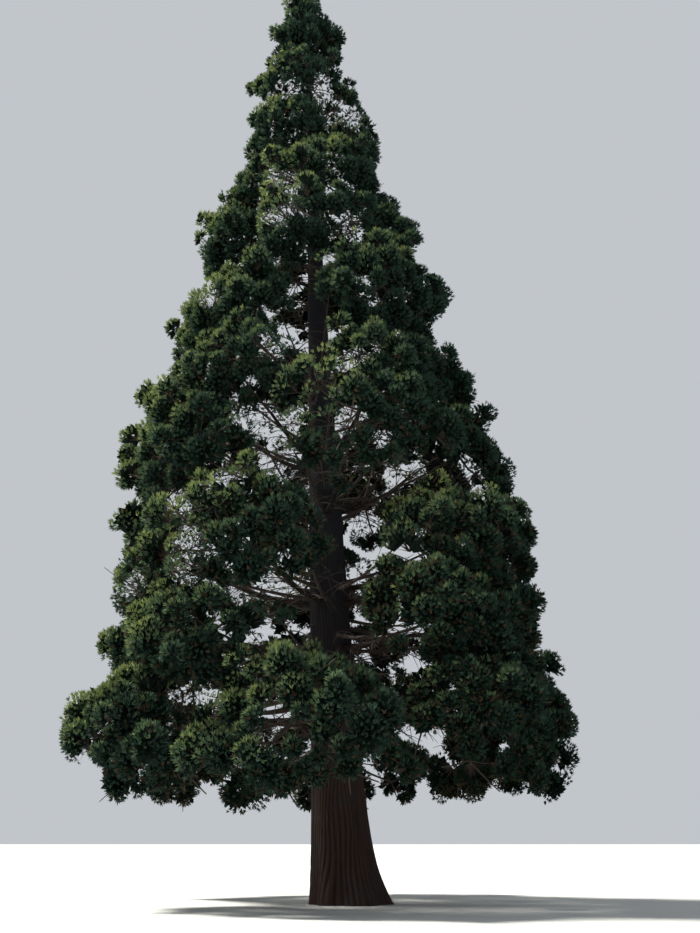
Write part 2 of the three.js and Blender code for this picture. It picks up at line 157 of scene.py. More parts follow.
@dataclass(frozen=True)
class TrunkForm:
    """Sizes of the trunk, from the ground to the tip."""

    tip_height: float = 27.2
    base_radius: float = 0.74
    tip_radius: float = 0.016
    taper: float = 1.18
    flare_radius: float = 0.26
    flare_height: float = 0.9
    flare_bearing: float = math.radians(-10)
    flare_bias: float = 0.8
    flute_count: int = 6
    flute_depth_at_foot: float = 0.07
    flute_depth_above: float = 0.02
    flute_fade_height: float = 2.2
    flute_twist: float = 0.09
    lean_slope: float = -0.052
    lean_recovery: float = 0.28e-3
    segment: float = 1.5

    def axis(self, height: float | np.ndarray) -> np.ndarray:
        """Point or points of the leaning axis at a height."""
        height = np.asarray(height, float)
        lean = self.lean_slope * height + self.lean_recovery * height * height
        return np.stack([lean, np.zeros_like(height), height], axis=-1)

    def radius(self, height: np.ndarray, bearing: np.ndarray) -> np.ndarray:
        """Radius without bark relief.

        Args:
            height: Heights above the ground.
            bearing: Bearings from +X towards +Y, in radians.

        Returns:
            Radii, one for each height and bearing.
        """
        left = np.maximum(0, 1 - height / self.tip_height)
        shaft = self.tip_radius + (self.base_radius - self.tip_radius) * left**self.taper
        side = 1 + self.flare_bias * np.cos(bearing - self.flare_bearing)
        flare = self.flare_radius * side * np.exp(-height / self.flare_height)
        fade = np.exp(-height / self.flute_fade_height)
        depth = self.flute_depth_above + self.flute_depth_at_foot * fade
        flute = np.cos(self.flute_count * bearing + self.flute_twist * height)
        return (shaft + flare) * (1 + depth * flute)

    def segments(self) -> list[Segment]:
        """Straight stretches of the trunk, with the widest radius of each."""
        rows = []
        for height in np.arange(0, self.tip_height, self.segment):
            top = min(height + self.segment, self.tip_height)
            widest = float(self.radius(height, self.flare_bearing)) * (1 + self.flute_depth_above)
            rows.append((self.axis(height), self.axis(top), widest))
        return rows


class Zone(Enum):
    """Parts of the tree's height whose twigs and sprays are joined."""

    LOWER = "lower_crown"
    MIDDLE = "middle_crown"
    UPPER = "upper_crown"


@dataclass(frozen=True)
class Tier:
    """One storey of masses. Rise is what a limb climbs for each metre that it runs outwards."""

    name: str
    height: float
    masses: int
    bearing: float
    reach: float
    rise: float
    twigs: int
    zone: Zone


TIERS = (
    Tier("skirt", 4.38, 6, 202, 7.05, -0.16, 9, Zone.LOWER),
    Tier("lower", 6.7, 5, 164, 6.65, 0.02, 7, Zone.LOWER),
    Tier("broad", 8.69, 5, 172, 6.1, 0.22, 7, Zone.MIDDLE),
    Tier("belt", 11.59, 5, 148, 5.75, 0.4, 8, Zone.MIDDLE),
    Tier("middle", 13.4, 5, 157, 5.05, 0.5, 8, Zone.MIDDLE),
    Tier("shoulder", 15.57, 4, 225, 4.35, 0.55, 7, Zone.UPPER),
    Tier("upper", 18, 4, 181, 3.35, 0.6, 7, Zone.UPPER),
    Tier("high", 19.62, 3, 172, 2.7, 0.6, 7, Zone.UPPER),
    Tier("narrow", 21.48, 3, 124, 2.15, 0.6, 7, Zone.UPPER),
    Tier("top", 23.16, 2, 231, 1.65, 0.6, 7, Zone.UPPER),
)
TIERS_ON_BOUGHS = 3


@dataclass(frozen=True)
class CrownRule:
    """Shares and clearances by which the masses are placed, the same as the solids'."""

    bearing_jitter: float = 8
    height_jitter: float = 0.45
    reach_jitter: float = 0.03
    reach_bias_to_left: float = 0.05
    radial_share: float = 0.3
    radial_extra: float = 0.32
    across_fullness: float = 1.2
    tall_share: float = 0.94
    tall_limit: float = 1.5
    foot_height: float = 2.05
    leader_height: float = 25.6
    leader_half_width: float = 1.12
    leader_half_height: float = 1.6
    leader_twigs: int = 13
    leader_seed: int = 90001
    place_seeds: tuple[int, int] = (2909, 347)
    mass_seeds: tuple[int, int] = (7001, 211)
    limb_radius_per_reach: float = 0.0135
    limb_radius_least: float = 0.034
    limb_taper: float = 0.45
    limb_sag: float = 0.09
    limb_end_share: float = 0.7
    limb_spans: int = 4
    cell_gap: float = 0.024
    limb_margin: float = 0.045
    tip_margin: float = 0.04
    tree_top: float = 27.35


@dataclass
class Limb:
    """One tapering limb from the trunk's axis to the edge of its mass."""

    root: np.ndarray
    bend: np.ndarray
    tip: np.ndarray
    root_radius: float
    tip_radius: float

    @property
    def along(self) -> np.ndarray:
        """Direction of the limb at its tip."""
        return unit(self.tip - self.bend)

    def points(self, count: int) -> np.ndarray:
        """Points from the root to the tip."""
        return quadratic(self.root, self.bend, self.tip, count)

    def segments(self, spans: int) -> list[Segment]:
        """Straight stretches, each with the limb's radius at its start."""
        points = self.points(spans + 1)
        step = (self.tip_radius - self.root_radius) / spans
        return [
            (points[span], points[span + 1], self.root_radius + step * span)
            for span in range(spans)
        ]


@dataclass
class Mass:
    """One mass of foliage: an egg about a centre, cut by the planes of its own cell."""

    name: str
    zone: Zone
    bough: str | None
    seed: int
    twigs: int
    outward: np.ndarray
    centre: np.ndarray
    radial: float
    across: float
    tall: float
    limb: Limb | None = None
    normals: np.ndarray = field(default_factory=lambda: np.zeros((0, 3)))
    offsets: np.ndarray = field(default_factory=lambda: np.zeros(0))

    @property
    def sideways(self) -> np.ndarray:
        """Level direction square to the way the mass faces."""
        return np.array([-self.outward[1], self.outward[0], 0.0])

    @property
    def size(self) -> float:
        """Larger of the half width along the reach and the half height."""
        return max(self.radial, self.tall)

    def egg_radius(self, directions: np.ndarray) -> np.ndarray:
        """Distance from the centre to the egg's surface along each direction."""
        radial = directions @ self.outward / self.radial
        across = directions @ self.sideways / self.across
        tall = directions[..., 2] / self.tall
        return 1 / np.sqrt(radial**2 + across**2 + tall**2)

    def room_towards(self, directions: np.ndarray) -> np.ndarray:
        """Distance from the centre to the cell's nearest plane along each direction."""
        facing = np.atleast_2d(directions) @ self.normals.T
        distance = self.offsets - self.normals @ self.centre
        room = np.where(facing > TINY, distance / np.maximum(facing, TINY), np.inf)
        return np.maximum(0, room.min(axis=-1))

    def keeps(self, points: np.ndarray, overreach: float, margin: float = 0.0) -> np.ndarray:
        """Tells which points, counted from the centre, are in the mass's own space.

        Args:
            points: Rows of points about the centre.
            overreach: How far past the egg a point may lie, as a share of its radius.
            margin: Least distance to the cell's planes.

        Returns:
            True or False for each point.
        """
        distance = np.linalg.norm(points, axis=-1)
        in_egg = distance <= overreach * self.egg_radius(unit(points))
        depth = self.offsets - (points + self.centre) @ self.normals.T
        return in_egg & (depth >= margin).all(axis=-1)


class CrownPlan:
    """Places the masses and limbs, and gives each mass its cell."""

    def __init__(self, trunk: TrunkForm, rule: CrownRule) -> None:
        """Plans every tier and the leader.

        Args:
            trunk: The trunk's sizes.
            rule: The shares and clearances of the crown.
        """
        self.trunk = trunk
        self.rule = rule
        self.masses = [
            self.tier_mass(tier, level, index)
            for level, tier in enumerate(TIERS)
            for index in range(tier.masses)
        ]
        self.masses.append(self.leader())
        for mass in self.masses:
            self.set_cell(mass)

    def tier_mass(self, tier: Tier, level: int, index: int) -> Mass:
        """One mass of a tier.

        Args:
            tier: The tier.
            level: The tier's place, counted from the lowest.
            index: The mass's place in its tier.

        Returns:
            The mass, with its limb and without its cell.
        """
        rule = self.rule
        by_tier, by_mass = rule.place_seeds
        draw = SeededDraw(by_tier * (level + 1) + by_mass * index)
        even_bearing = tier.bearing + 360 * index / tier.masses
        bearing = math.radians(even_bearing + draw.spread(rule.bearing_jitter))
        height = tier.height + draw.spread(rule.height_jitter)
        bias = rule.reach_bias_to_left * math.cos(bearing)
        reach = tier.reach * (1 + draw.spread(rule.reach_jitter) - bias)
        radial = rule.radial_share * reach + rule.radial_extra
        run = reach - radial
        above = TIERS[level + 1].height if level + 1 < len(TIERS) else rule.leader_height
        room = height - rule.foot_height
        if level > 0:
            room = rule.tall_share * (above - TIERS[level - 1].height) / 2
        outward = np.array([math.cos(bearing), math.sin(bearing), 0.0])
        by_tier, by_mass = rule.mass_seeds
        mass = Mass(
            name=f"{tier.name}_mass_{index + 1}",
            zone=tier.zone,
            bough=f"{tier.name}_bough_{index + 1}" if level < TIERS_ON_BOUGHS else None,
            seed=by_tier * (level + 1) + by_mass * index,
            twigs=tier.twigs,
            outward=outward,
            centre=self.trunk.axis(height) + outward * run,
            radial=radial,
            across=rule.across_fullness * math.pi * run / tier.masses,
            tall=min(room, rule.tall_limit * radial),
        )
        mass.limb = self.limb(mass, reach, height - tier.rise * run, run)
        return mass

    def limb(self, mass: Mass, reach: float, root_height: float, run: float) -> Limb:
        """The limb that carries a mass.

        Args:
            mass: The mass.
            reach: Distance from the trunk's axis to the mass's outer tips.
            root_height: Height where the limb leaves the trunk's axis.
            run: Level distance from the axis to the mass's centre.

        Returns:
            The limb.
        """
        rule = self.rule
        root = self.trunk.axis(root_height)
        inward = unit(root - mass.centre)
        tip = mass.centre + inward * rule.limb_end_share * mass.egg_radius(inward)
        bend = (root + tip) / 2 - UP * rule.limb_sag * run
        grown = rule.limb_radius_per_reach * reach + rule.limb_radius_least / 2
        thick = max(rule.limb_radius_least, grown)
        return Limb(root, bend, tip, thick, thick * rule.limb_taper)

    def leader(self) -> Mass:
        """The mass that stands round the trunk's tip."""
        rule = self.rule
        return Mass(
            name="leader_mass",
            zone=Zone.UPPER,
            bough=None,
            seed=rule.leader_seed,
            twigs=rule.leader_twigs,
            outward=SIDE.copy(),
            centre=self.trunk.axis(rule.leader_height),
            radial=rule.leader_half_width,
            across=rule.leader_half_width,
            tall=rule.leader_half_height,
        )

    @staticmethod
    def clear_of(centre: np.ndarray, segment: Segment, margin: float) -> Plane:
        """The plane that keeps a cell clear of a round stretch of limb.

        Args:
            centre: Centre of the cell's mass.
            segment: Start, end and radius of the stretch.
            margin: Distance kept from it.

        Returns:
            The plane's normal and offset.
        """
        start, end, radius = segment
        run = end - start
        share = np.clip((centre - start) @ run / (run @ run), 0, 1)
        towards = start + share * run - centre
        distance = float(np.linalg.norm(towards))
        normal = towards / distance
        return normal, float(normal @ centre) + distance - radius - margin

    def set_cell(self, mass: Mass) -> None:
        """Finds the planes of the convex space that a mass keeps to."""
        rule = self.rule
        planes: list[Plane] = []
        for other in self.masses:
            if other is mass:
                continue
            gap = other.centre - mass.centre
            distance = float(np.linalg.norm(gap))
            normal = gap / distance
            own = float(mass.egg_radius(normal))
            theirs = float(other.egg_radius(normal))
            share = distance * own / (own + theirs) - rule.cell_gap / 2
            planes.append((normal, float(normal @ mass.centre) + share))
            if other.limb:
                for segment in other.limb.segments(rule.limb_spans):
                    planes.append(self.clear_of(mass.centre, segment, rule.limb_margin))
        if mass.limb:
            for segment in self.trunk.segments():
                planes.append(self.clear_of(mass.centre, segment, rule.limb_margin))
        if mass.bough and mass.limb:
            along = mass.limb.along
            planes.append((-along, float(-along @ mass.limb.tip) - rule.tip_margin))
        planes.append((UP, rule.tree_top))
        mass.normals = np.array([normal for normal, _ in planes])
        mass.offsets = np.array([offset for _, offset in planes])

# Growth of twigs and sprays on a mass


@dataclass(frozen=True)
class ForkRule:
    """The source's rule for a mass's core surface, twigs and forked sprays."""

    core_share: float = 0.68
    core_lump: float = 0.13
    core_cell_share: float = 0.84
    phase_per_seed: float = 0.37
    wave_numbers: Triple = (3.1, 3.7, 4.3)
    wave_phases: Triple = (1, 1.7, 2.3)
    root_shares: Span = (0.8, 0.86)
    length_share: float = 0.98
    length_variation: float = 0.14
    half_width: float = 0.46
    tilt: float = 0.9
    tilt_variation: float = 0.3
    roll: float = 0.45
    shrink: float = 0.88
    spray_tries: int = 6
    fork_tries: int = 6
    overreach: float = 1.1
    inward_limit: float = -0.45
    rim: tuple[Span, ...] = ((0, 0), (0.36, 1), (0.56, 0.42), (1, 0), (0.56, -0.42), (0.36, -1))

    def surface(self, mass: Mass, directions: np.ndarray) -> np.ndarray:
        """Distance from a mass's centre to its core's surface along each direction."""
        phase = mass.seed * self.phase_per_seed
        turned = directions * np.array(self.wave_numbers) + np.array(self.wave_phases) * phase
        waves = np.sin(turned).sum(axis=-1)
        lumpy = self.core_share * mass.egg_radius(directions) * (1 + self.core_lump * waves / 2)
        return np.minimum(lumpy, self.core_cell_share * mass.room_towards(directions))

    def directions(self, mass: Mass, draw: SeededDraw) -> np.ndarray:
        """Directions of a mass's main twigs, without those that face the trunk."""
        rows = even_directions(mass.twigs, FULL_TURN * draw.next())
        if mass.limb is None:
            return rows
        return rows[rows @ mass.outward > self.inward_limit]


@dataclass(frozen=True)
class StemRule:
    """The stem that goes on from a limb, and the main twigs and forks that leave it.

    Lengths are in metres, and shares are of the mass, the twig or the fork.
    """

    points: int = 8
    rise: float = 0.35
    reach: float = 0.62
    bend: float = 0.15
    overlap: float = 0.05
    taper: float = 0.25
    hub_span: Span = (-0.55, 0.9)
    hub_share: float = 0.5
    leader_fall: float = 0.8
    leader_drop: float = 0.15
    twig_points: int = 6
    twig_sag: float = 0.1
    twig_radius: float = 0.016
    twig_radius_per_size: float = 0.011
    fork_radius_share: float = 0.6
    fork_end: float = 0.9
    fork_bend: float = 0.45
    fork_sag: float = 0.08
    fork_taper: float = 0.2
    bare_points: int = 4
    bare_taper: float = 0.35


@dataclass(frozen=True)
class BareRule:
    """The thinner limbs beside each main one, and the bare twigs along them."""

    points: int = 9
    root_rise: Span = (-0.35, 0.6)
    across_share: float = 0.5
    inward_share: float = 0.25
    end_rise: Span = (-0.15, 0.35)
    sag: float = 0.1
    thickness: float = 0.62
    taper: float = 0.3
    twigs_on_limb: int = 10
    twigs_on_companion: int = 8
    first_share: float = 0.22
    ahead: float = 0.5
    aside: Span = (0.5, 1)
    lift: float = 0.35
    length: Span = (0.3, 0.55)
    droop: float = 0.28
    twig_points: int = 6
    twig_bend: float = 0.6
    twig_radii: Span = (0.02, 0.007)
    twiglets: int = 3
    first_twiglet: int = 2
    twiglet_turn: float = 0.55
    twiglet_length: float = 0.42
    twiglet_variation: Span = (0.6, 1.1)
    twiglet_bend: float = 0.5
    twiglet_droop: float = 0.2
    twiglet_points: int = 3
    twiglet_radii: Span = (0.011, 0.005)


@dataclass(frozen=True)
class BillowRule:
    """How the forks are carried on to billows of sprays, and what light each spray takes."""

    radius: float = 0.45
    radius_variation: float = 0.34
    radius_per_size: float = 0.5
    reference_size: float = 2.3
    fork_places: tuple[Span, ...] = ((0.34, 0.36), (0.34, -0.36), (0.62, 0.04), (0.92, -0.02))
    fork_pull: float = 0.5
    fork_spacing: float = 0.8
    spacing: float = 1.0
    stretch: Triple = (1.02, 0.94, 1.02)
    stretch_variation: float = 0.16
    lump: float = 0.13
    lump_waves: float = 4.2
    swell: Span = (-0.1, 0.06)
    hidden_share: float = 0.78
    light_of_normal: float = 0.42
    light_of_side: float = 0.34
    light_of_place: float = 0.28
    light_of_lump: float = 0.5
    tone_of_mass: float = 0.06
    tone_of_billow: float = 0.12
    tone_of_spray: float = 0.15
    depth_shade: float = 0.7
    depth_full_light: float = 0.92
    fill_directions: int = 150
    fill_depth: float = 0.62
    fill_reach: float = 0.95
    fill_margin: float = 0.03
    fill_inward_limit: float = -0.2
    fill_inward_limit_small: float = -0.9
    small_size: float = 1.5
    lobe_depth: float = 0.2
    lobe_angle: float = 0.62
    open_side: float = -0.22
    open_outward: float = 0.68
    open_upward: float = 0.78
    open_keep: float = 0.1
    leader_draw: float = 0.55
    leader_spread: float = 0.5
    leader_overreach: float = 1.32
    leader_past_cell: float = 0.4
    overreach: float = 1.12
    cell_margin: float = 0.02
    axis_lift: float = 0.45
    sprays_per_area: float = 62.0
    lowest: float = -0.2
    spray_length: float = 0.147
    spray_variation: float = 0.2
    spray_lift: float = 0.55
    spray_jitter: float = 0.3
    root_depth: float = 0.8
    # Inner sprays take the near-black tint: painted shade inside each billow.
    inner_per_area: float = 11.5
    inner_length: float = 0.8
    inner_variation: float = 0.12
    inner_root: float = 0.12
    inner_light: float = -1.5
    opening_shares: Triple = (0.0, 0.5, 0.9)
    outer_margin: Span = (0.7, 1.3)
    inner_margin: Span = (0.95, 1.35)
    # Brown sprays: old needles, and also painted shade low, deep in the crown and under the
    # billows.
    old_share: float = 0.72
    old_least: float = 0.12
    old_heights: Span = (8.0, 15.0)
    old_depths: Span = (0.55, 0.95)
    old_fade: Span = (0.65, 0.5)
    base_depth: float = 0.55
    twig_sag: float = 0.12
    twig_points: int = 5
    twig_radii: Span = (0.018, 0.009)
    sprays_per_stalk: int = 4
    stalk_reach: float = 0.3


@dataclass(frozen=True)
class GrowthRules:
    """All the rules that a mass grows by."""

    forks: ForkRule = ForkRule()
    stems: StemRule = StemRule()
    bare: BareRule = BareRule()
    billows: BillowRule = BillowRule()


@dataclass(frozen=True)
class Opening:
    """A place in the crown where sky or the trunk shows, seen from the ground before the tree.

    It is an ellipse on the upright plane across the foot: its middle, half its length and
    breadth, how it slants in degrees, and the share of sprays that it keeps.
    """

    across: float
    height: float
    half_length: float
    half_breadth: float
    slant: float
    keeps: float = 0.24

    def holds(self, points: np.ndarray, margin: np.ndarray) -> np.ndarray:
        """Tells which points of the tree are seen in the opening.

        Args:
            points: The points.
            margin: How much larger than itself the opening is taken, for each point.

        Returns:
            True or False for each point.
        """
        nearer = VIEWER[1] / (VIEWER[1] - points[:, 1])
        across = VIEWER[0] + (points[:, 0] - VIEWER[0]) * nearer - self.across
        height = VIEWER[2] + (points[:, 2] - VIEWER[2]) * nearer - self.height
        turn = math.radians(self.slant)
        along = (across * math.cos(turn) + height * math.sin(turn)) / self.half_length
        beside = (height * math.cos(turn) - across * math.sin(turn)) / self.half_breadth
        return along**2 + beside**2 < margin**2


SUNWARD = unit(np.array([-0.6, 0.1, 0.8]))

OPENINGS = tuple(Opening(*sizes) for sizes in (
    (-4.37, 9.31, 0.85, 0.4, 82, 0.3), (-2.42, 13.09, 0.72, 0.4, 174),
    (-0.67, 23.75, 0.6, 0.26, 92, 0.3), (0.63, 10.02, 0.45, 0.34, 30),
    (1.72, 11.52, 0.56, 0.36, 7), (-5.77, 8.3, 0.5, 0.27, 60, 0.3),
    (-1.77, 8.23, 0.78, 0.32, 11), (0.26, 19.16, 0.6, 0.26, 105, 0.3),
    (-2.08, 11.75, 0.46, 0.28, 139), (0.13, 13.07, 0.55, 0.36, 42),
    (0.12, 22.83, 0.5, 0.3, 115, 0.3), (-4.12, 5.39, 0.65, 0.3, 1),
    (-1.56, 15.64, 0.44, 0.3, 141), (-1.76, 20.67, 0.5, 0.3, 144, 0.3),
    (-3.98, 16.98, 0.45, 0.25, 82), (0.62, 8.72, 0.44, 0.28, 171),
    (-1.6, 12.75, 0.5, 0.28, 48), (-2.02, 19.54, 0.55, 0.22, 28, 0.3),
    (0.12, 14.94, 0.44, 0.3, 66), (-1.47, 11.94, 0.38, 0.26, 162),
    (-4.63, 10.67, 0.43, 0.3, 120, 0.3), (-2.13, 15.32, 0.55, 0.24, 125),
    (-3.34, 11.31, 0.75, 0.2, 14), (-2.82, 7.96, 0.32, 0.24, 83),
    (3.52, 11.72, 0.4, 0.24, 126), (3.78, 10.98, 0.3, 0.24, 84),
    (1.1, 12.52, 0.34, 0.22, 42), (-2.27, 7.11, 0.37, 0.26, 27),
    (-0.68, 14.0, 1.6, 0.3, 92, 0.3), (-0.53, 10.6, 0.8, 0.28, 92, 0.6),
))


@dataclass
class Fork:
    """One fork of a main twig: its root about the mass's centre, directions and length."""

    root: np.ndarray
    along: np.ndarray
    across: np.ndarray
    length: float

    def place(self, share: float, side: float = 0) -> np.ndarray:
        """A point of the fork at a share of its length and of its length to one side."""
        return self.root + self.length * (share * self.along + side * self.across)


@dataclass
class MainTwig:
    """A main twig: its direction, its length as far as the core's surface, and its forks."""

    direction: np.ndarray
    surface: float
    forks: list[Fork]


@dataclass
class Billow:
    """A rounded clump of sprays: centre about the mass's centre, size and carrying point."""

    centre: np.ndarray
    radius: float
    carrier: np.ndarray


@dataclass
class Sprays:
    """Rows of sprays: roots, directions, lengths, light taken, and which are brown ones, old
    needles that also paint shade.
    """

    roots: np.ndarray
    grow: np.ndarray
    sizes: np.ndarray
    light: np.ndarray
    old: np.ndarray

    def chosen(self, mask: np.ndarray) -> Sprays:
        """The sprays that a mask picks."""
        return Sprays(*(getattr(self, item.name)[mask] for item in fields(self)))

    @staticmethod
    def joined(groups: Sequence[Sprays]) -> Sprays:
        """The sprays of several groups as one."""
        return Sprays(*(np.concatenate([getattr(group, item.name) for group in groups])
                        for item in fields(Sprays)))


@dataclass
class Growth:
    """Twigs as chains of points with radii, sprays, and stalks as roots and runs."""

    branches: list[tuple[np.ndarray, np.ndarray]] = field(default_factory=list)
    twigs: list[tuple[np.ndarray, np.ndarray]] = field(default_factory=list)
    stalks: list[tuple[np.ndarray, np.ndarray]] = field(default_factory=list)
    sprays: list[Sprays] = field(default_factory=list)

    def branch(self, points: np.ndarray, thick: float, thin: float) -> None:
        """Keeps one branch, with its points and its radii at the root and the tip."""
        self.branches.append((points, np.linspace(thick, thin, len(points))))

    def twig(self, points: np.ndarray, radii: Span) -> None:
        """Keeps one twig, with its points and its radii at the root and the tip."""
        self.twigs.append((points, np.linspace(*radii, len(points))))


class MassGrowth:
    """Grows the twigs, billows and sprays of one mass."""

    def __init__(self, mass: Mass, rules: GrowthRules, trunk: TrunkForm) -> None:
        """Takes the mass, the rules that it grows by and the trunk's sizes."""
        self.mass = mass
        self.trunk = trunk
        self.forks = rules.forks
        self.stems = rules.stems
        self.bare = rules.bare
        self.billows = rules.billows
        self.random = np.random.default_rng([mass.seed, BILLOW_SEED])
        self.twig_random = np.random.default_rng([mass.seed, TWIG_SEED])
        self.growth = Growth()
        leads = mass.limb is None
        self.overreach = self.billows.leader_overreach if leads else self.billows.overreach
        self.past_cell = self.billows.leader_past_cell if leads else 0.0

    def grow(self) -> Growth:
        """Grows everything on the mass.

        Returns:
            The twigs and sprays, in the tree's frame.
        """
        mains = self.main_twigs()
        if self.mass.limb:
            self.stem(self.mass.limb)
            self.companions(self.mass.limb)
        billows = self.fork_billows(mains)
        if mains:
            self.fill_billows(mains, billows)
        centres = np.array([billow.centre for billow in billows]).reshape(-1, 3)
        radii = np.array([billow.radius for billow in billows])
        tone = self.random.normal(0, self.billows.tone_of_mass)
        for billow in billows:
            self.billow(billow, centres, radii, tone)
        return self.growth

    def fork(self, root: np.ndarray, direction: np.ndarray, aside: np.ndarray,
             draw: SeededDraw) -> Fork | None:
        """The longest fork that keeps to the mass's space.

        Args:
            root: Its root about the centre.
            direction: The main twig's direction.
            aside: The side that it leans to.
            draw: The seeded numbers.

        Returns:
            The fork, or None where it has no room.
        """
        rule = self.forks
        tilt = rule.tilt + draw.spread(rule.tilt_variation)
        along = direction * math.cos(tilt) + aside * math.sin(tilt)
        level = unit(np.cross(direction, aside))
        roll = draw.spread(rule.roll)
        across = level * math.cos(roll) + np.cross(along, level) * math.sin(roll)
        length = rule.length_share * self.mass.size * (1 + draw.spread(rule.length_variation))
        rim = np.array(rule.rim)
        for _ in range(rule.spray_tries):
            points = root + length * (rim[:, :1] * along + rule.half_width * rim[:, 1:] * across)
            if self.mass.keeps(points, rule.overreach).all():
                return Fork(root, along, across, length)
            length *= rule.shrink
        return None

    def forked(self, direction: np.ndarray, surface: float, draw: SeededDraw) -> list[Fork]:
        """One try at the pair of forks of a main twig.

        Args:
            direction: The main twig's direction.
            surface: Distance from the centre to the core's surface.
            draw: The seeded numbers.

        Returns:
            The forks that have room.
        """
        helper = np.array([draw.spread(1), draw.spread(1), draw.spread(1)])
        aside = unit(helper - (helper @ direction) * direction)
        pair = [self.fork(direction * surface * share, direction, aside * sign, draw)
                for share, sign in zip(self.forks.root_shares, (1, -1))]
        return [fork for fork in pair if fork]

    def main_twigs(self) -> list[MainTwig]:
        """Every main twig with its fullest pair of forks."""
        draw = SeededDraw(self.mass.seed)
        mains = []
        for direction in self.forks.directions(self.mass, draw):
            surface = float(self.forks.surface(self.mass, direction[None])[0])
            tries = [self.forked(direction, surface, draw) for _ in range(self.forks.fork_tries)]
            best = max(tries, key=lambda forks: sum(fork.length for fork in forks))
            if best:
                mains.append(MainTwig(direction, surface, best))
        return mains

    def crotch(self, main: MainTwig) -> np.ndarray:
        """The point, about the centre, where a main twig forks."""
        return main.direction * main.surface * self.forks.root_shares[0]

    def hub(self, main: MainTwig) -> np.ndarray:
        """The point, about the centre, where a main twig leaves its stem."""
        mass, rule = self.mass, self.stems
        if mass.limb is None:
            reach = main.direction * main.surface
            fall = rule.leader_fall * float(np.linalg.norm(reach[:2])) + rule.leader_drop
            return self.trunk.axis(mass.centre[2] + reach[2] - fall) - mass.centre
        along = mass.limb.along
        forward = float(np.clip(main.direction @ along, *rule.hub_span))
        return along * forward * rule.hub_share * mass.radial

    def drawn(self, points: np.ndarray) -> np.ndarray:
        """Points about the centre, on the leader drawn in towards the tree's tip."""
        if self.mass.limb is not None:
            return points
        height = np.clip(points[..., 2:] / self.mass.tall, -1, 1)
        axis = self.trunk.axis(self.mass.centre[2] + points[..., 2]) - self.mass.centre
        above, below = np.maximum(height, 0), np.maximum(-height, 0)
        breadth = 1 - self.billows.leader_draw * above + self.billows.leader_spread * below
        return axis + (points - axis) * breadth

    def stem(self, limb: Limb) -> None:
        """Grows the stem that goes on from the limb's tip through the mass."""
        mass, rule = self.mass, self.stems
        ahead = unit(limb.along + rule.rise * UP)
        room = min(float(mass.egg_radius(ahead)), float(mass.room_towards(ahead)[0]))
        end = mass.centre + ahead * (rule.reach * room)
        bend = mass.centre + limb.along * rule.bend * mass.radial
        points = quadratic(limb.tip - limb.along * rule.overlap, bend, end, rule.points)
        self.growth.branch(points, limb.tip_radius, rule.taper * limb.tip_radius)

    def companions(self, limb: Limb) -> None:
        """Grows the thinner limbs beside the main one, and the bare twigs along all three."""
        mass, rule, random = self.mass, self.bare, self.twig_random
        self.bare_twigs(limb.points(rule.points), rule.twigs_on_limb)
        for side in (1, -1):
            root = self.trunk.axis(limb.root[2] + random.uniform(*rule.root_rise))
            end = (mass.centre + side * rule.across_share * mass.across * mass.sideways
                   - rule.inward_share * mass.radial * mass.outward
                   + random.uniform(*rule.end_rise) * mass.tall * UP)
            bend = (root + end) / 2 - UP * rule.sag * float(np.linalg.norm(end - root))
            points = quadratic(root, bend, end, rule.points)
            thick = rule.thickness * limb.root_radius
            self.growth.branch(points, thick, rule.taper * thick)
            self.bare_twigs(points, rule.twigs_on_companion)

    def bare_twigs(self, points: np.ndarray, count: int) -> None:
        """Grows so many bare twigs, with twiglets, to both sides of a limb's points."""
        rule, random = self.bare, self.twig_random
        along = unit(points[-1] - points[0])
        across = unit(np.cross(along, UP))
        for number in range(count):
            share = rule.first_share + (1 - rule.first_share) * (number + 0.5) / count
            root = points[round(share * (len(points) - 1))]
            side = 1 if number % 2 else -1
            heading = unit(rule.ahead * along + side * random.uniform(*rule.aside) * across
                           + random.uniform(-1, 1) * rule.lift * UP)
            length = self.mass.size * random.uniform(*rule.length)
            tip = root + length * heading - length * rule.droop * UP
            bend = root + rule.twig_bend * length * heading
            twig = quadratic(root, bend, tip, rule.twig_points)
            self.growth.twig(twig, rule.twig_radii)
            for start in twig[rule.first_twiglet:rule.first_twiglet + rule.twiglets]:
                turn = unit(heading + random.normal(0, rule.twiglet_turn, 3) - rule.droop * UP)
                run = rule.twiglet_length * length * random.uniform(*rule.twiglet_variation)
                end = start + run * turn - rule.twiglet_droop * run * UP
                bend = start + rule.twiglet_bend * run * turn
                twiglet = quadratic(start, bend, end, rule.twiglet_points)
                self.growth.twig(twiglet, rule.twiglet_radii)

    def fork_billows(self, mains: list[MainTwig]) -> list[Billow]:
        """Grows the main twigs and forks, and places the billows that they carry."""
        mass, stems, rule = self.mass, self.stems, self.billows
        billows: list[Billow] = []
        last = stems.twig_points - 1
        for main in mains:
            start, crotch = self.hub(main), self.crotch(main)
            bend = (start + crotch) / 2 - UP * stems.twig_sag * main.surface
            thick = stems.twig_radius + stems.twig_radius_per_size * mass.radial
            slim = stems.fork_radius_share * thick
            points = quadratic(start, bend, crotch, stems.twig_points)
            self.growth.branch(points + mass.centre, thick, slim)
            for fork in main.forks:
                tip = fork.place(stems.fork_end)
                bend = fork.place(stems.fork_bend) - UP * stems.fork_sag * fork.length
                points = quadratic(crotch, bend, tip, stems.twig_points)
                if self.open_side(unit(tip)):
                    shown = self.drawn(points[:stems.bare_points]) + mass.centre
                    self.growth.branch(shown, slim, stems.bare_taper * thick)
                    continue
                self.growth.branch(self.drawn(points) + mass.centre, slim,
                                   stems.fork_taper * thick)
                for share, side in rule.fork_places:
                    radius = self.billow_radius()
                    place = self.drawn(fork.place(share, side))
                    pull = unit(place) * rule.fork_pull * radius
                    carrier = self.drawn(points[min(last, int(share * last))])
                    self.accept(billows, Billow(place - pull, radius, carrier), rule.fork_spacing)
        return billows

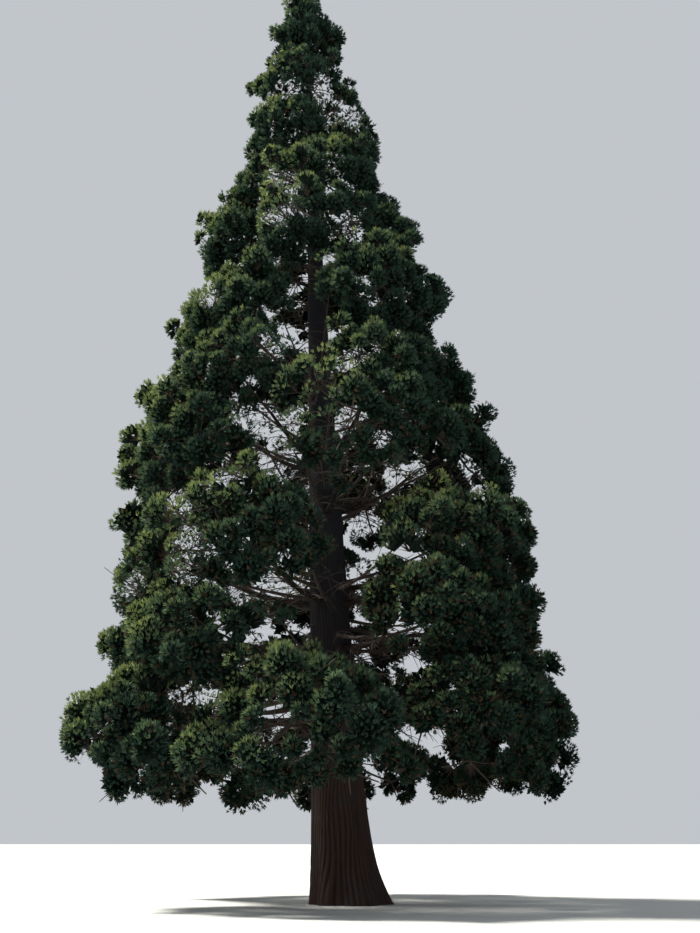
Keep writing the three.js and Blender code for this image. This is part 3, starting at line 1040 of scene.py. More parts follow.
    def fill_billows(self, mains: list[MainTwig], billows: list[Billow]) -> None:
        """Adds billows over what the forks leave bare of the mass's outer side.

        Args:
            mains: The main twigs.
            billows: The billows so far, which the new ones join.
        """
        mass, rule = self.mass, self.billows
        directions = even_directions(rule.fill_directions, self.random.uniform(0, FULL_TURN))
        if mass.limb is not None:
            small = mass.size < rule.small_size
            limit = rule.fill_inward_limit_small if small else rule.fill_inward_limit
            directions = directions[directions @ mass.outward > limit]
        closeness = directions @ np.array([main.direction for main in mains]).T
        nearest = closeness.argmax(axis=1)
        angle = np.arccos(np.clip(closeness.max(axis=1), -1, 1))
        lobes = 1 - rule.lobe_depth * np.minimum(1, angle / rule.lobe_angle) ** 2
        reach = rule.fill_reach * mass.egg_radius(directions) * lobes
        room = mass.room_towards(directions) - rule.fill_margin + self.past_cell
        for direction, distance, number in zip(directions, np.minimum(reach, room), nearest):
            if self.open_side(direction):
                continue
            radius = self.billow_radius()
            depth = distance - rule.fill_depth * radius
            if depth >= radius:
                place = self.drawn(direction * depth)
                billow = Billow(place, radius, self.crotch(mains[number]))
                self.accept(billows, billow, rule.spacing)

    def open_side(self, direction: np.ndarray) -> bool:
        """Tells whether a direction looks to the hollow under the mass, where twigs are bare."""
        rule = self.billows
        if self.mass.limb is None:
            return False
        facing = (rule.open_outward * float(direction @ self.mass.outward)
                  + rule.open_upward * float(direction[2]))
        return facing < rule.open_side and self.random.random() > rule.open_keep

    def billow_radius(self) -> float:
        """A billow's radius, larger on a larger mass."""
        rule = self.billows
        grown = (self.mass.size / rule.reference_size) ** rule.radius_per_size
        return rule.radius * grown * (1 + self.random.uniform(-1, 1) * rule.radius_variation)

    @staticmethod
    def accept(billows: list[Billow], new: Billow, spacing: float) -> None:
        """Keeps a billow that isn't too near another.

        Args:
            billows: The billows so far.
            new: The billow.
            spacing: Least distance to another, as a share of the larger radius.
        """
        for other in billows:
            near = spacing * max(new.radius, other.radius)
            if np.linalg.norm(other.centre - new.centre) < near:
                return
        billows.append(new)

    def directions_over(self, per_area: float, radius: float, axis: np.ndarray) -> np.ndarray:
        """Directions from a billow's middle over its free side.

        Args:
            per_area: How many sprays to a square metre.
            radius: The billow's radius.
            axis: The direction that it faces.

        Returns:
            A row for each spray.
        """
        across, over = across_frame(axis)
        count = int(per_area * FULL_TURN * radius**2)
        local = even_directions(count, self.random.uniform(0, FULL_TURN), self.billows.lowest)
        return local[:, :1] * across + local[:, 1:2] * over + local[:, 2:] * axis

    def shaped(self, normals: np.ndarray, away: np.ndarray) -> np.ndarray:
        """Directions of a billow, stretched along and across the level way that it faces."""
        rule = self.billows
        variation = 1 + self.random.uniform(-1, 1, 3) * rule.stretch_variation
        along = unit(np.array([away[0], away[1], 0.0]) + TINY * SIDE)
        ways = (along, np.array([-along[1], along[0], 0.0]), UP)
        return sum(np.outer(normals @ way, way) * share
                   for way, share in zip(ways, np.array(rule.stretch) * variation))

    def billow(self, billow: Billow, centres: np.ndarray, radii: np.ndarray, tone: float) -> None:
        """Grows one billow: its twig, the stalks in it and the sprays at their ends.

        Args:
            billow: The billow.
            centres: Centres of all the mass's billows.
            radii: Their radii.
            tone: How much lighter than its place the mass's foliage is.
        """
        mass, rule, random = self.mass, self.billows, self.random
        centre, radius = billow.centre, billow.radius
        away = unit(centre)
        axis = unit(away + rule.axis_lift * UP)
        normals = self.directions_over(rule.sprays_per_area, radius, axis)
        count = len(normals)
        shaped = self.shaped(normals, away)
        phase = random.uniform(0, FULL_TURN, 3)
        lumps = np.sin(rule.lump_waves * normals + phase).sum(axis=1) / 2
        swell = 1 + rule.lump * lumps + random.uniform(*rule.swell, count)
        jitter = random.normal(0, rule.spray_jitter, (count, 3))
        grow = unit(normals + rule.spray_lift * UP + jitter)
        sizes = rule.spray_length * (1 + random.uniform(-1, 1, count) * rule.spray_variation)
        sunk = normals * rule.root_depth * sizes[:, None]
        roots = centre + shaped * radius * swell[:, None] - sunk
        tips = roots + grow * sizes[:, None]
        hidden = self.inside_others(tips, centre, centres, radii)
        kept = self.in_space(tips) & ~(hidden | self.in_opening(roots, tips, False))
        if not kept.any():
            return
        base = centre - axis * rule.base_depth * radius
        self.billow_twig(billow.carrier, base)
        light = (rule.light_of_normal * normals @ SUNWARD + rule.light_of_side * away @ SUNWARD
                 + rule.light_of_place * unit(tips) @ SUNWARD)
        light = light + rule.light_of_lump * rule.lump * lumps + tone
        light = light + random.normal(0, rule.tone_of_billow)
        light = light + random.normal(0, rule.tone_of_spray, count) - self.depth_shade(centre)
        # Brown sprays fall more on those that face down: old needles, and painted shade under the
        # billow.
        level, fall = rule.old_fade
        old = random.random(count) < self.old_share(centre) * (level - fall * normals[:, 2])
        sprays = Sprays(roots + mass.centre, grow, sizes, light, old)
        self.growth.sprays.append(sprays.chosen(kept))
        runs = roots + rule.stalk_reach * grow * sizes[:, None] - base
        runs = runs[kept][::rule.sprays_per_stalk]
        self.growth.stalks.append((np.repeat((base + mass.centre)[None], len(runs), axis=0), runs))
        self.inner_sprays(centre, radius, axis)

    def inner_sprays(self, centre: np.ndarray, radius: float, axis: np.ndarray) -> None:
        """Grows the sprays of painted shade that close a billow behind its outer ones.

        Args:
            centre: The billow's centre about the mass's centre.
            radius: Its radius.
            axis: The direction that it faces.
        """
        rule = self.billows
        grow = self.directions_over(rule.inner_per_area, radius, axis)
        count = len(grow)
        varied = 1 + self.random.uniform(-rule.inner_variation, rule.inner_variation, count)
        sizes = rule.inner_length * radius * varied
        roots = centre + grow * rule.inner_root * radius
        tips = roots + grow * sizes[:, None]
        kept = self.in_space(tips) & ~self.in_opening(roots, tips, True)
        sprays = Sprays(roots + self.mass.centre, grow, sizes, np.full(count, rule.inner_light),
                        np.zeros(count, dtype=bool))
        self.growth.sprays.append(sprays.chosen(kept))

    def billow_twig(self, carrier: np.ndarray, base: np.ndarray) -> None:
        """Grows the twig from a billow's carrying point to the foot of its stalks."""
        rule = self.billows
        bend = (carrier + base) / 2 - UP * rule.twig_sag * float(np.linalg.norm(base - carrier))
        points = quadratic(carrier, bend, base, rule.twig_points)
        self.growth.twig(points + self.mass.centre, rule.twig_radii)

    def depth_shade(self, centre: np.ndarray) -> float:
        """How much darker a billow is for lying behind the crown's outer side."""
        rule = self.billows
        return rule.depth_shade * max(0.0, rule.depth_full_light - self.crown_depth(centre))

    def crown_depth(self, centre: np.ndarray) -> float:
        """Distance of a billow from the trunk, as a share of the crown's reach at its height."""
        place = self.mass.centre + centre
        tiers = np.array([(tier.height, tier.reach) for tier in TIERS])
        reach = float(np.interp(place[2], tiers[:, 0], tiers[:, 1]))
        return float(np.linalg.norm((place - self.trunk.axis(place[2]))[:2])) / reach

    def old_share(self, centre: np.ndarray) -> float:
        """Share of a billow's sprays that are brown: last years' needles, and painted shade, low
        and deep in the crown.
        """
        rule = self.billows
        height = float(self.mass.centre[2] + centre[2])
        low = float(np.interp(height, rule.old_heights, (1, 0)))
        deep = float(np.interp(self.crown_depth(centre), rule.old_depths, (1, rule.old_least)))
        return rule.old_share * low * deep

    def in_space(self, tips: np.ndarray) -> np.ndarray:
        """Tells which spray tips keep to the mass's space."""
        return self.mass.keeps(tips, self.overreach, self.billows.cell_margin - self.past_cell)

    def inside_others(self, tips: np.ndarray, centre: np.ndarray, centres: np.ndarray,
                      radii: np.ndarray) -> np.ndarray:
        """Tells which spray tips are hidden in another billow.

        Args:
            tips: The tips about the mass's centre.
            centre: Centre of the billow that they belong to.
            centres: Centres of all the mass's billows.
            radii: Their radii.

        Returns:
            True or False for each tip.
        """
        distance = np.linalg.norm(tips[:, None] - centres[None], axis=2)
        other = np.linalg.norm(centres - centre, axis=1) > TINY
        return (distance[:, other] < self.billows.hidden_share * radii[other]).any(axis=1)

    def in_opening(self, roots: np.ndarray, tips: np.ndarray, inner: bool) -> np.ndarray:
        """Tells which sprays an opening of the crown leaves out.

        Args:
            roots: Roots of the sprays about the mass's centre.
            tips: Their tips.
            inner: Whether they are inner sprays, which an opening keeps none of.

        Returns:
            True or False for each spray.
        """
        rule = self.billows
        out = np.zeros(len(roots), dtype=bool)
        least, most = rule.inner_margin if inner else rule.outer_margin
        places = [self.mass.centre + roots + share * (tips - roots)
                  for share in rule.opening_shares]
        for opening in OPENINGS:
            margin = self.random.uniform(least, most, len(roots))
            seen = np.any([opening.holds(points, margin) for points in places], axis=0)
            spared = 0.0 if inner else opening.keeps
            out |= seen & (self.random.random(len(roots)) > spared)
        return out


# Node trees


class NodeSheet:
    """A node tree that is built one node at a time."""

    def __init__(self, tree: bpy.types.NodeTree) -> None:
        """Takes the tree that the nodes go into."""
        self.tree = tree

    def add(self, kind: str, settings: dict[str, Any] | None = None,
            inputs: dict[str | int, Any] | None = None) -> bpy.types.Node:
        """Adds a node.

        Args:
            kind: The node's type.
            settings: Its settings, which are made first.
            inputs: Values or linked sockets of its inputs, by name or place.

        Returns:
            The node.
        """
        node = self.tree.nodes.new(kind)
        for name, value in (settings or {}).items():
            setattr(node, name, value)
        for name, value in (inputs or {}).items():
            if isinstance(value, Signal):
                value = value.socket
            if isinstance(value, bpy.types.NodeSocket):
                self.tree.links.new(value, node.inputs[name])
            else:
                node.inputs[name].default_value = value
        return node

    def point_attribute(self, name: str, kind: str) -> bpy.types.NodeSocket:
        """The socket that gives a named attribute of the points."""
        node = self.add("GeometryNodeInputNamedAttribute", {"data_type": kind}, {"Name": name})
        return node.outputs[0]

    def noise(self, vector: bpy.types.NodeSocket, scale: float, detail: float,
              roughness: float = 0.5) -> Signal:
        """A noise pattern over a vector."""
        return Signal(self, self.add("ShaderNodeTexNoise", inputs={
            "Vector": vector, "Scale": scale, "Detail": detail, "Roughness": roughness,
        }).outputs[0])

    def mixed(self, share: Signal, first: Any, second: Any) -> bpy.types.NodeSocket:
        """A mix of two colours by the second one's share."""
        node = self.add("ShaderNodeMix", {"data_type": "RGBA"}, {0: share, 6: first, 7: second})
        return node.outputs[2]


class Signal:
    """A socket of a shader tree that takes part in sums and products."""

    def __init__(self, sheet: NodeSheet, socket: bpy.types.NodeSocket) -> None:
        """Wraps an output socket."""
        self.sheet = sheet
        self.socket = socket

    def math(self, operation: str, left: Any, right: Any) -> Signal:
        """A Math node on two values or signals."""
        node = self.sheet.add("ShaderNodeMath", {"operation": operation}, {0: left, 1: right})
        return Signal(self.sheet, node.outputs[0])

    def mapped(self, low: float, high: float, top: float = 1.0) -> Signal:
        """The signal's place between two values, as a number from 0 to the top one."""
        node = self.sheet.add("ShaderNodeMapRange", inputs={
            "Value": self, "From Min": low, "From Max": high, "To Max": top})
        return Signal(self.sheet, node.outputs[0])

    def __add__(self, other: Any) -> Signal:
        """The sum with another signal, socket or number."""
        return self.math("ADD", self, other)

    def __radd__(self, other: float) -> Signal:
        """The sum with a number on the left."""
        return self.math("ADD", other, self)

    def __mul__(self, other: Any) -> Signal:
        """The product with another signal, socket or number."""
        return self.math("MULTIPLY", self, other)

    def __rmul__(self, other: float) -> Signal:
        """The product with a number on the left."""
        return self.math("MULTIPLY", other, self)

    def __sub__(self, other: Any) -> Signal:
        """The signal less another signal, socket or number."""
        return self.math("SUBTRACT", self, other)

    def __rsub__(self, other: float) -> Signal:
        """A number less the signal."""
        return self.math("SUBTRACT", other, self)


class GrowthTree:
    """Geometry Nodes that turn points into sprays and chains into twigs."""

    pick_range: int = 1000

    def __init__(self) -> None:
        """Builds both trees."""
        self.scatter = self.scatter_tree()
        self.tubes = self.tube_tree()

    @staticmethod
    def open_tree(name: str, sockets: dict[str, str]) -> tuple[NodeSheet, bpy.types.NodeOutputs]:
        """Starts a geometry tree with its sockets.

        Args:
            name: The tree's name.
            sockets: Kind of each input by its name, beside the geometry and the material.

        Returns:
            The sheet, and the sockets that give the inputs.
        """
        tree = bpy.data.node_groups.new(name, "GeometryNodeTree")
        kinds = {"Geometry": "Geometry", **sockets, "Material": "Material"}
        for label, kind in kinds.items():
            tree.interface.new_socket(label, in_out="INPUT", socket_type=f"NodeSocket{kind}")
        tree.interface.new_socket("Geometry", in_out="OUTPUT", socket_type="NodeSocketGeometry")
        sheet = NodeSheet(tree)
        return sheet, sheet.add("NodeGroupInput").outputs

    @staticmethod
    def close_tree(sheet: NodeSheet, made: bpy.types.Node,
                   material: bpy.types.NodeSocket) -> bpy.types.NodeTree:
        """Ends a tree in Realize Instances and Set Material.

        Args:
            sheet: The tree's sheet.
            made: The node that makes the geometry.
            material: The socket of the material.

        Returns:
            The tree.
        """
        real = sheet.add("GeometryNodeRealizeInstances", inputs={"Geometry": made.outputs[0]})
        dressed = sheet.add("GeometryNodeSetMaterial",
                            inputs={"Geometry": real.outputs[0], "Material": material})
        sheet.add("NodeGroupOutput", inputs={"Geometry": dressed.outputs[0]})
        return sheet.tree

    def scatter_tree(self) -> bpy.types.NodeTree:
        """The tree that puts a form on each point, grown along the point's own direction."""
        sheet, given = self.open_tree("sprays_on_points", {
            "Forms": "Collection", "Size": "Float", "Turn Seed": "Int"})
        forms = sheet.add("GeometryNodeCollectionInfo", inputs={
            "Collection": given["Forms"], "Separate Children": True, "Reset Children": True})
        turn = sheet.add("FunctionNodeRandomValue", {"data_type": "FLOAT"},
                         {"Seed": given["Turn Seed"], 3: FULL_TURN})
        pick = sheet.add("FunctionNodeRandomValue", {"data_type": "INT"},
                         {"Seed": given["Turn Seed"], 5: self.pick_range})
        aligned = sheet.add("FunctionNodeAlignRotationToVector", {"axis": "Z"},
                            {"Vector": sheet.point_attribute("grow", "FLOAT_VECTOR")})
        size = Signal(sheet, sheet.point_attribute("size", "FLOAT"))
        spin = sheet.add("FunctionNodeAxisAngleToRotation",
                         inputs={"Axis": (0, 0, 1), "Angle": turn.outputs[1]})
        turned = sheet.add("FunctionNodeRotateRotation", {"rotation_space": "LOCAL"},
                           {"Rotation": aligned.outputs[0], "Rotate By": spin.outputs[0]})
        placed = sheet.add("GeometryNodeInstanceOnPoints", inputs={
            "Points": given["Geometry"],
            "Instance": forms.outputs[0],
            "Pick Instance": True,
            "Instance Index": pick.outputs[2],
            "Rotation": turned.outputs[0],
            "Scale": size * given["Size"],
        })
        return self.close_tree(sheet, placed, given["Material"])

    def tube_tree(self) -> bpy.types.NodeTree:
        """The tree that gives each chain of points its thickness."""
        sheet, given = self.open_tree("twigs_on_chains", {"Sides": "Int", "Thickness": "Float"})
        curve = sheet.add("GeometryNodeMeshToCurve", inputs={0: given["Geometry"]})
        thick = Signal(sheet, sheet.point_attribute("thick", "FLOAT")) * given["Thickness"]
        sized = sheet.add("GeometryNodeSetCurveRadius",
                          inputs={"Curve": curve.outputs[0], "Radius": thick})
        ring = sheet.add("GeometryNodeCurvePrimitiveCircle",
                         inputs={"Resolution": given["Sides"], "Radius": 1.0})
        tube = sheet.add("GeometryNodeCurveToMesh", inputs={
            "Curve": sized.outputs[0], "Profile Curve": ring.outputs[0], "Fill Caps": True})
        if "Scale" in tube.inputs:
            sheet.tree.links.new(thick.socket, tube.inputs["Scale"])
        return self.close_tree(sheet, tube, given["Material"])

    @staticmethod
    def grown(name: str, carrier: bpy.types.Object, tree: bpy.types.NodeTree,
              values: dict[str, Any]) -> bpy.types.Object:
        """Runs a tree on an object and makes an object with a plain mesh of the result.

        Args:
            name: The new object's name.
            carrier: The object that holds the points or chains, which is removed.
            tree: The geometry tree.
            values: The tree's inputs by name.

        Returns:
            The new object.
        """
        modifier = carrier.modifiers.new(tree.name, "NODES")
        modifier.node_group = tree
        for item in tree.interface.items_tree:
            if item.item_type == "SOCKET" and item.in_out == "INPUT" and item.name in values:
                modifier[item.identifier] = values[item.name]
        bpy.context.view_layer.update()
        graph = bpy.context.evaluated_depsgraph_get()
        mesh = bpy.data.meshes.new_from_object(carrier.evaluated_get(graph),
                                               preserve_all_data_layers=True, depsgraph=graph)
        mesh.name = name
        held = carrier.data
        bpy.data.objects.remove(carrier)
        bpy.data.meshes.remove(held)
        return plain_object(name, mesh)


# Finishes


@dataclass(frozen=True)
class PlainFinish:
    """A finish of one plain tint."""

    name: str
    colour: Triple
    roughness: float = 0.7
    specular: float = 0.06

    def material(self) -> bpy.types.Material:
        """Builds the material."""
        material, shader, _ = open_material(self.name)
        shader.inputs["Base Color"].default_value = (*self.colour, 1)
        shader.inputs["Roughness"].default_value = self.roughness
        shader.inputs["Specular IOR Level"].default_value = self.specular
        return material


@dataclass(frozen=True)
class BarkFinish:
    """Fibrous bark that follows the limb by the grain attribute, with painted shade in its furrows.
    """

    name: str
    ridge: Triple
    # Near-black colour of the furrows: painted shade in the recesses.
    furrow: Triple
    # Grey of weathered patches, also laid up the trunk as painted shade of the crown.
    weathered: Triple
    fibre_scale: float = 26.0
    fibre_stretch: float = 0.05
    fibre_detail: float = 5.0
    fibre_roughness: float = 0.62
    fibre_share: float = 0.5
    shade_span: Span = (0.3, 0.85)
    patch_scale: float = 1.3
    patch_detail: float = 3.0
    worn_span: Span = (0.48, 0.75)
    worn_share: float = 0.6
    # Heights over which the trunk turns to the weathered grey: painted shade of the crown above.
    cool_span: Span | None = None
    cool_share: float = 0.85
    bump: float = 0.45
    bump_distance: float = 0.03
    roughness: float = 0.9
    specular: float = 0.2

    def material(self) -> bpy.types.Material:
        """Builds the material."""
        material, shader, sheet = open_material(self.name)
        grain = sheet.add("ShaderNodeAttribute", {"attribute_name": "grain"}).outputs["Vector"]
        furrow = sheet.add("ShaderNodeAttribute", {"attribute_name": "furrow"}).outputs["Fac"]
        along = self.fibre_scale * self.fibre_stretch
        stretched = sheet.add("ShaderNodeMapping", inputs={
            "Vector": grain, "Scale": (self.fibre_scale, self.fibre_scale, along)})
        fibre = sheet.noise(stretched.outputs[0], 1.0, self.fibre_detail, self.fibre_roughness)
        patch = sheet.noise(grain, self.patch_scale, self.patch_detail)
        # Darker where the fibres are low and in the furrows: grain, and painted shade in the
        # furrows.
        height = fibre * self.fibre_share + (1 - Signal(sheet, furrow)) * (1 - self.fibre_share)
        fibre_and_furrow_shade = sheet.mixed(height.mapped(*self.shade_span), (*self.furrow, 1), (*self.ridge, 1))
        share = patch.mapped(*self.worn_span, self.worn_share)
        # Above these heights the bark takes the grey: painted shade of the crown.
        if self.cool_span:
            level = sheet.add("ShaderNodeSeparateXYZ", inputs={"Vector": grain}).outputs[2]
            crown_shaded = Signal(sheet, level).mapped(*self.cool_span, self.cool_share)
            share = crown_shaded + (1 - crown_shaded) * share
        colour = sheet.mixed(share, fibre_and_furrow_shade, (*self.weathered, 1))
        relief = sheet.add("ShaderNodeBump", inputs={
            "Strength": self.bump, "Distance": self.bump_distance, "Height": fibre})
        sheet.tree.links.new(colour, shader.inputs["Base Color"])
        sheet.tree.links.new(relief.outputs[0], shader.inputs["Normal"])
        shader.inputs["Roughness"].default_value = self.roughness
        shader.inputs["Specular IOR Level"].default_value = self.specular
        return material


def open_material(name: str) -> tuple[bpy.types.Material, bpy.types.Node, NodeSheet]:
    """Starts a material, and gives it with its surface shader and its sheet."""
    material = bpy.data.materials.new(name)
    material.use_nodes = True
    sheet = NodeSheet(material.node_tree)
    return material, material.node_tree.nodes["Principled BSDF"], sheet


class Tint(Enum):
    """Tints of foliage, lit and shaded copies that paint light from the fullest light to the
    deepest shade, and the brown one of old needles, which also paints shade.
    """

    SUNLIT = PlainFinish("sunlit_needles", (0.232, 0.282, 0.108))
    BRIGHT = PlainFinish("bright_needles", (0.150, 0.204, 0.088))
    GREEN = PlainFinish("green_needles", (0.088, 0.138, 0.070))
    DEEP = PlainFinish("deep_green_needles", (0.044, 0.080, 0.049))
    SHADED = PlainFinish("shaded_needles", (0.020, 0.042, 0.031))
    INNER = PlainFinish("inner_needles", (0.008, 0.017, 0.012))
    OLD = PlainFinish("old_needles", (0.056, 0.045, 0.027))


# Light values at which the painted light steps down from one tint to the next.
TINT_STEPS = (0.7, 0.48, 0.22, -0.04, -1.1)
# Bark tints: the furrows are near black, painted shade, and the trunk turns cool grey from 2.5 to 9
# m up, painted shade of the crown.
TRUNK_FINISH = BarkFinish("sequoia_bark", (0.052, 0.029, 0.022), (0.005, 0.0035, 0.0035),
                          (0.023, 0.026, 0.033), cool_span=(2.5, 9.0))
BOUGH_FINISH = BarkFinish("bough_bark", (0.042, 0.028, 0.023), (0.010, 0.007, 0.007),
                          (0.030, 0.027, 0.027), fibre_scale=34.0, bump_distance=0.012)
TWIG_FINISH = PlainFinish("twig_bark", (0.044, 0.030, 0.023), 0.85, 0.5)
FLOOR_FINISH = PlainFinish("pale_floor", (0.42, 0.43, 0.42), 0.9, 0.5)


# Meshes


def plain_object(name: str, mesh: bpy.types.Mesh) -> bpy.types.Object:
    """Puts a mesh in the scene as an object at the origin."""
    thing = bpy.data.objects.new(name, mesh)
    bpy.context.scene.collection.objects.link(thing)
    return thing


def new_mesh(name: str, points: Sequence[Any], edges: Sequence[Any] = (),
             faces: Sequence[Any] = ()) -> bpy.types.Mesh:
    """A mesh of points, edges and faces."""
    mesh = bpy.data.meshes.new(name)
    mesh.from_pydata(points, edges, faces)
    return mesh


def write_attribute(mesh: bpy.types.Mesh, name: str, values: np.ndarray) -> None:
    """Gives each point of a mesh a number, or a vector where the rows have three."""
    vector = values.ndim > 1
    made = mesh.attributes.new(name, "FLOAT_VECTOR" if vector else "FLOAT", "POINT")
    made.data.foreach_set("vector" if vector else "value", values.astype(np.float32).reshape(-1))


def loft_mesh(name: str, rings: np.ndarray, grain: np.ndarray, furrow: np.ndarray
              ) -> bpy.types.Mesh:
    """A closed mesh through rings of points.

    Args:
        name: The mesh's name.
        rings: Points by ring and by column.
        grain: Unrolled place of each point, for the bark's pattern.
        furrow: Depth of the furrow at each point, from 0 to 1.

    Returns:
        The mesh, smooth, with both attributes.
    """
    rows, columns = rings.shape[:2]
    low = np.arange(columns)
    high = (low + 1) % columns
    faces = [
        np.stack([row * columns + low, row * columns + high,
                  (row + 1) * columns + high, (row + 1) * columns + low], axis=-1)
        for row in range(rows - 1)
    ]
    caps = [low[::-1].tolist(), ((rows - 1) * columns + low).tolist()]
    mesh = new_mesh(name, rings.reshape(-1, 3).tolist(),
                    faces=np.concatenate(faces).tolist() + caps)
    mesh.shade_smooth()
    write_attribute(mesh, "grain", grain.reshape(-1, 3))
    write_attribute(mesh, "furrow", furrow.reshape(-1))
    return mesh


def unrolled(around: np.ndarray, along: np.ndarray, radius: float, shape: tuple[int, int]
             ) -> np.ndarray:
    """Places on a limb's surface for the bark's pattern.

    Args:
        around: Bearing of each column.
        along: Length along the limb of each ring.
        radius: Radius that the pattern is rolled on.
        shape: How many rings and columns.

    Returns:
        A vector for each point.
    """
    rows = (radius * np.cos(around), radius * np.sin(around), along)
    return np.stack([np.broadcast_to(values, shape) for values in rows], axis=-1)


def waved(first: float | np.ndarray, waves: tuple[Wave, ...], height: np.ndarray,
          bearing: np.ndarray) -> np.ndarray:
    """Adds waves over a round surface.

    Args:
        first: What they are added to.
        waves: Size of each wave, its turns by height and by bearing, and where it starts.
        height: Heights.
        bearing: Bearings.

    Returns:
        The sum at each height and bearing.
    """
    return sum((size * np.sin(rise * height + turn * bearing + start)
                for size, rise, turn, start in waves), first)


@dataclass(frozen=True)
class TrunkBark:
    """The trunk's bark, with ridges and furrows that run up it."""

    columns: int = 232
    rows: int = 190
    row_power: float = 1.35
    ridges: int = 23
    ridge_power: float = 0.6
    ridge_share: float = 0.7
    wander: tuple[Wave, ...] = ((0.9, 0.8, 2, 0.0), (0.7, 1.9, 5, 0.0), (0.5, 3.3, -3, 1.0))
    crowding: tuple[Wave, ...] = ((0.08, 0.5, 2, 0.0), (0.04, -0.9, 5, 0.0))
    split_wander: float = -1.4
    split_rise: float = 0.7
    split_power: float = 0.8
    split_share: float = 0.3
    level: float = 0.35
    relief: float = 0.07
    relief_share: float = 0.1
    grain_radius: float = 0.7

    def build(self, form: TrunkForm) -> bpy.types.Object:
        """Builds the trunk by its sizes."""
        share = np.linspace(0, 1, self.rows) ** self.row_power
        height = (share * form.tip_height)[:, None]
        bearing = np.linspace(0, FULL_TURN, self.columns, endpoint=False)[None, :]
        smooth = form.radius(height, bearing)
        wander = waved(0.0, self.wander, height, bearing)
        crowded = waved(bearing, self.crowding, height, bearing)
        ridge = np.abs(np.sin(self.ridges * crowded + wander)) ** self.ridge_power
        split = np.abs(np.sin(2 * self.ridges * bearing + self.split_wander * wander
                              + self.split_rise * height)) ** self.split_power
        furrow = 1 - (self.ridge_share * ridge + self.split_share * split)
        deep = np.minimum(self.relief, self.relief_share * smooth)
        radius = smooth + deep * (self.level - furrow)
        around = np.stack([np.cos(bearing), np.sin(bearing), np.zeros_like(bearing)], axis=-1)
        rings = form.axis(height[:, 0])[:, None, :] + radius[..., None] * around
        grain = unrolled(bearing, height, self.grain_radius, smooth.shape)
        return plain_object("trunk_bark", loft_mesh("trunk_bark", rings, grain, furrow))


@dataclass(frozen=True)
class BoughBark:
    """Bark of the limbs that leave the trunk.

    Each wave of the relief is what it turns by round the limb and along it.
    """

    columns: int = 14
    rows: int = 18
    collar: float = 0.55
    collar_share: float = 0.1
    ridge_wave: Span = (4, 5)
    break_wave: Span = (3, -9)
    knot_size: float = 0.06
    knots_along: float = 17
    level: float = 0.4
    relief: float = 0.1
    grain_radius: float = 0.25
    seeds: int = 97

    def rings(self, limb: Limb, seed: int) -> tuple[np.ndarray, np.ndarray, np.ndarray]:
        """Rings of one limb.

        Args:
            limb: The limb.
            seed: What its knots depend on.

        Returns:
            Points, grain and furrow depth.
        """
        points = limb.points(self.rows)
        share = np.linspace(0, 1, self.rows)[:, None]
        turn = np.linspace(0, FULL_TURN, self.columns, endpoint=False)[None, :]
        (ridge_round, ridge_along), (break_round, break_along) = self.ridge_wave, self.break_wave
        furrow = 0.5 + 0.5 * (np.sin(ridge_round * turn + ridge_along * share + seed)
                              * np.cos(break_round * turn + break_along * share))
        knots = self.knot_size * np.sin(self.knots_along * share + seed) * np.cos(turn + seed)
        radius = limb.root_radius + (limb.tip_radius - limb.root_radius) * share
        radius = radius * (1 + self.collar * np.exp(-share / self.collar_share))
        radius = radius * (1 + self.relief * (self.level - furrow) + knots)
        tangents = unit(np.gradient(points, axis=0))
        across = unit(np.cross(tangents, UP))
        over = np.cross(tangents, across)
        ring = across[:, None] * np.cos(turn)[..., None] + over[:, None] * np.sin(turn)[..., None]
        length = np.linalg.norm(np.diff(points, axis=0), axis=1)
        run = np.concatenate([[0], np.cumsum(length)])[:, None]
        grain = unrolled(turn, run + seed, self.grain_radius, radius.shape)
        return points[:, None] + ring * radius[..., None], grain, furrow

    def build(self, name: str, masses: Sequence[Mass]) -> bpy.types.Object:
        """Builds the limbs of several masses as one piece.

        Args:
            name: The piece's name.
            masses: The masses whose limbs it holds.

        Returns:
            The object.
        """
        things = []
        for mass in masses:
            if mass.limb:
                label = f"{name}_{mass.name}"
                rings = self.rings(mass.limb, mass.seed % self.seeds)
                things.append(plain_object(label, loft_mesh(label, *rings)))
        with bpy.context.temp_override(active_object=things[0], selected_editable_objects=things):
            bpy.ops.object.join()
        things[0].name = things[0].data.name = name
        return things[0]


def grouped(name: str, things: Sequence[bpy.types.Object]) -> bpy.types.Collection:
    """A collection that holds the given objects."""
    group = bpy.data.collections.new(name)
    for thing in things:
        group.objects.link(thing)
    return group


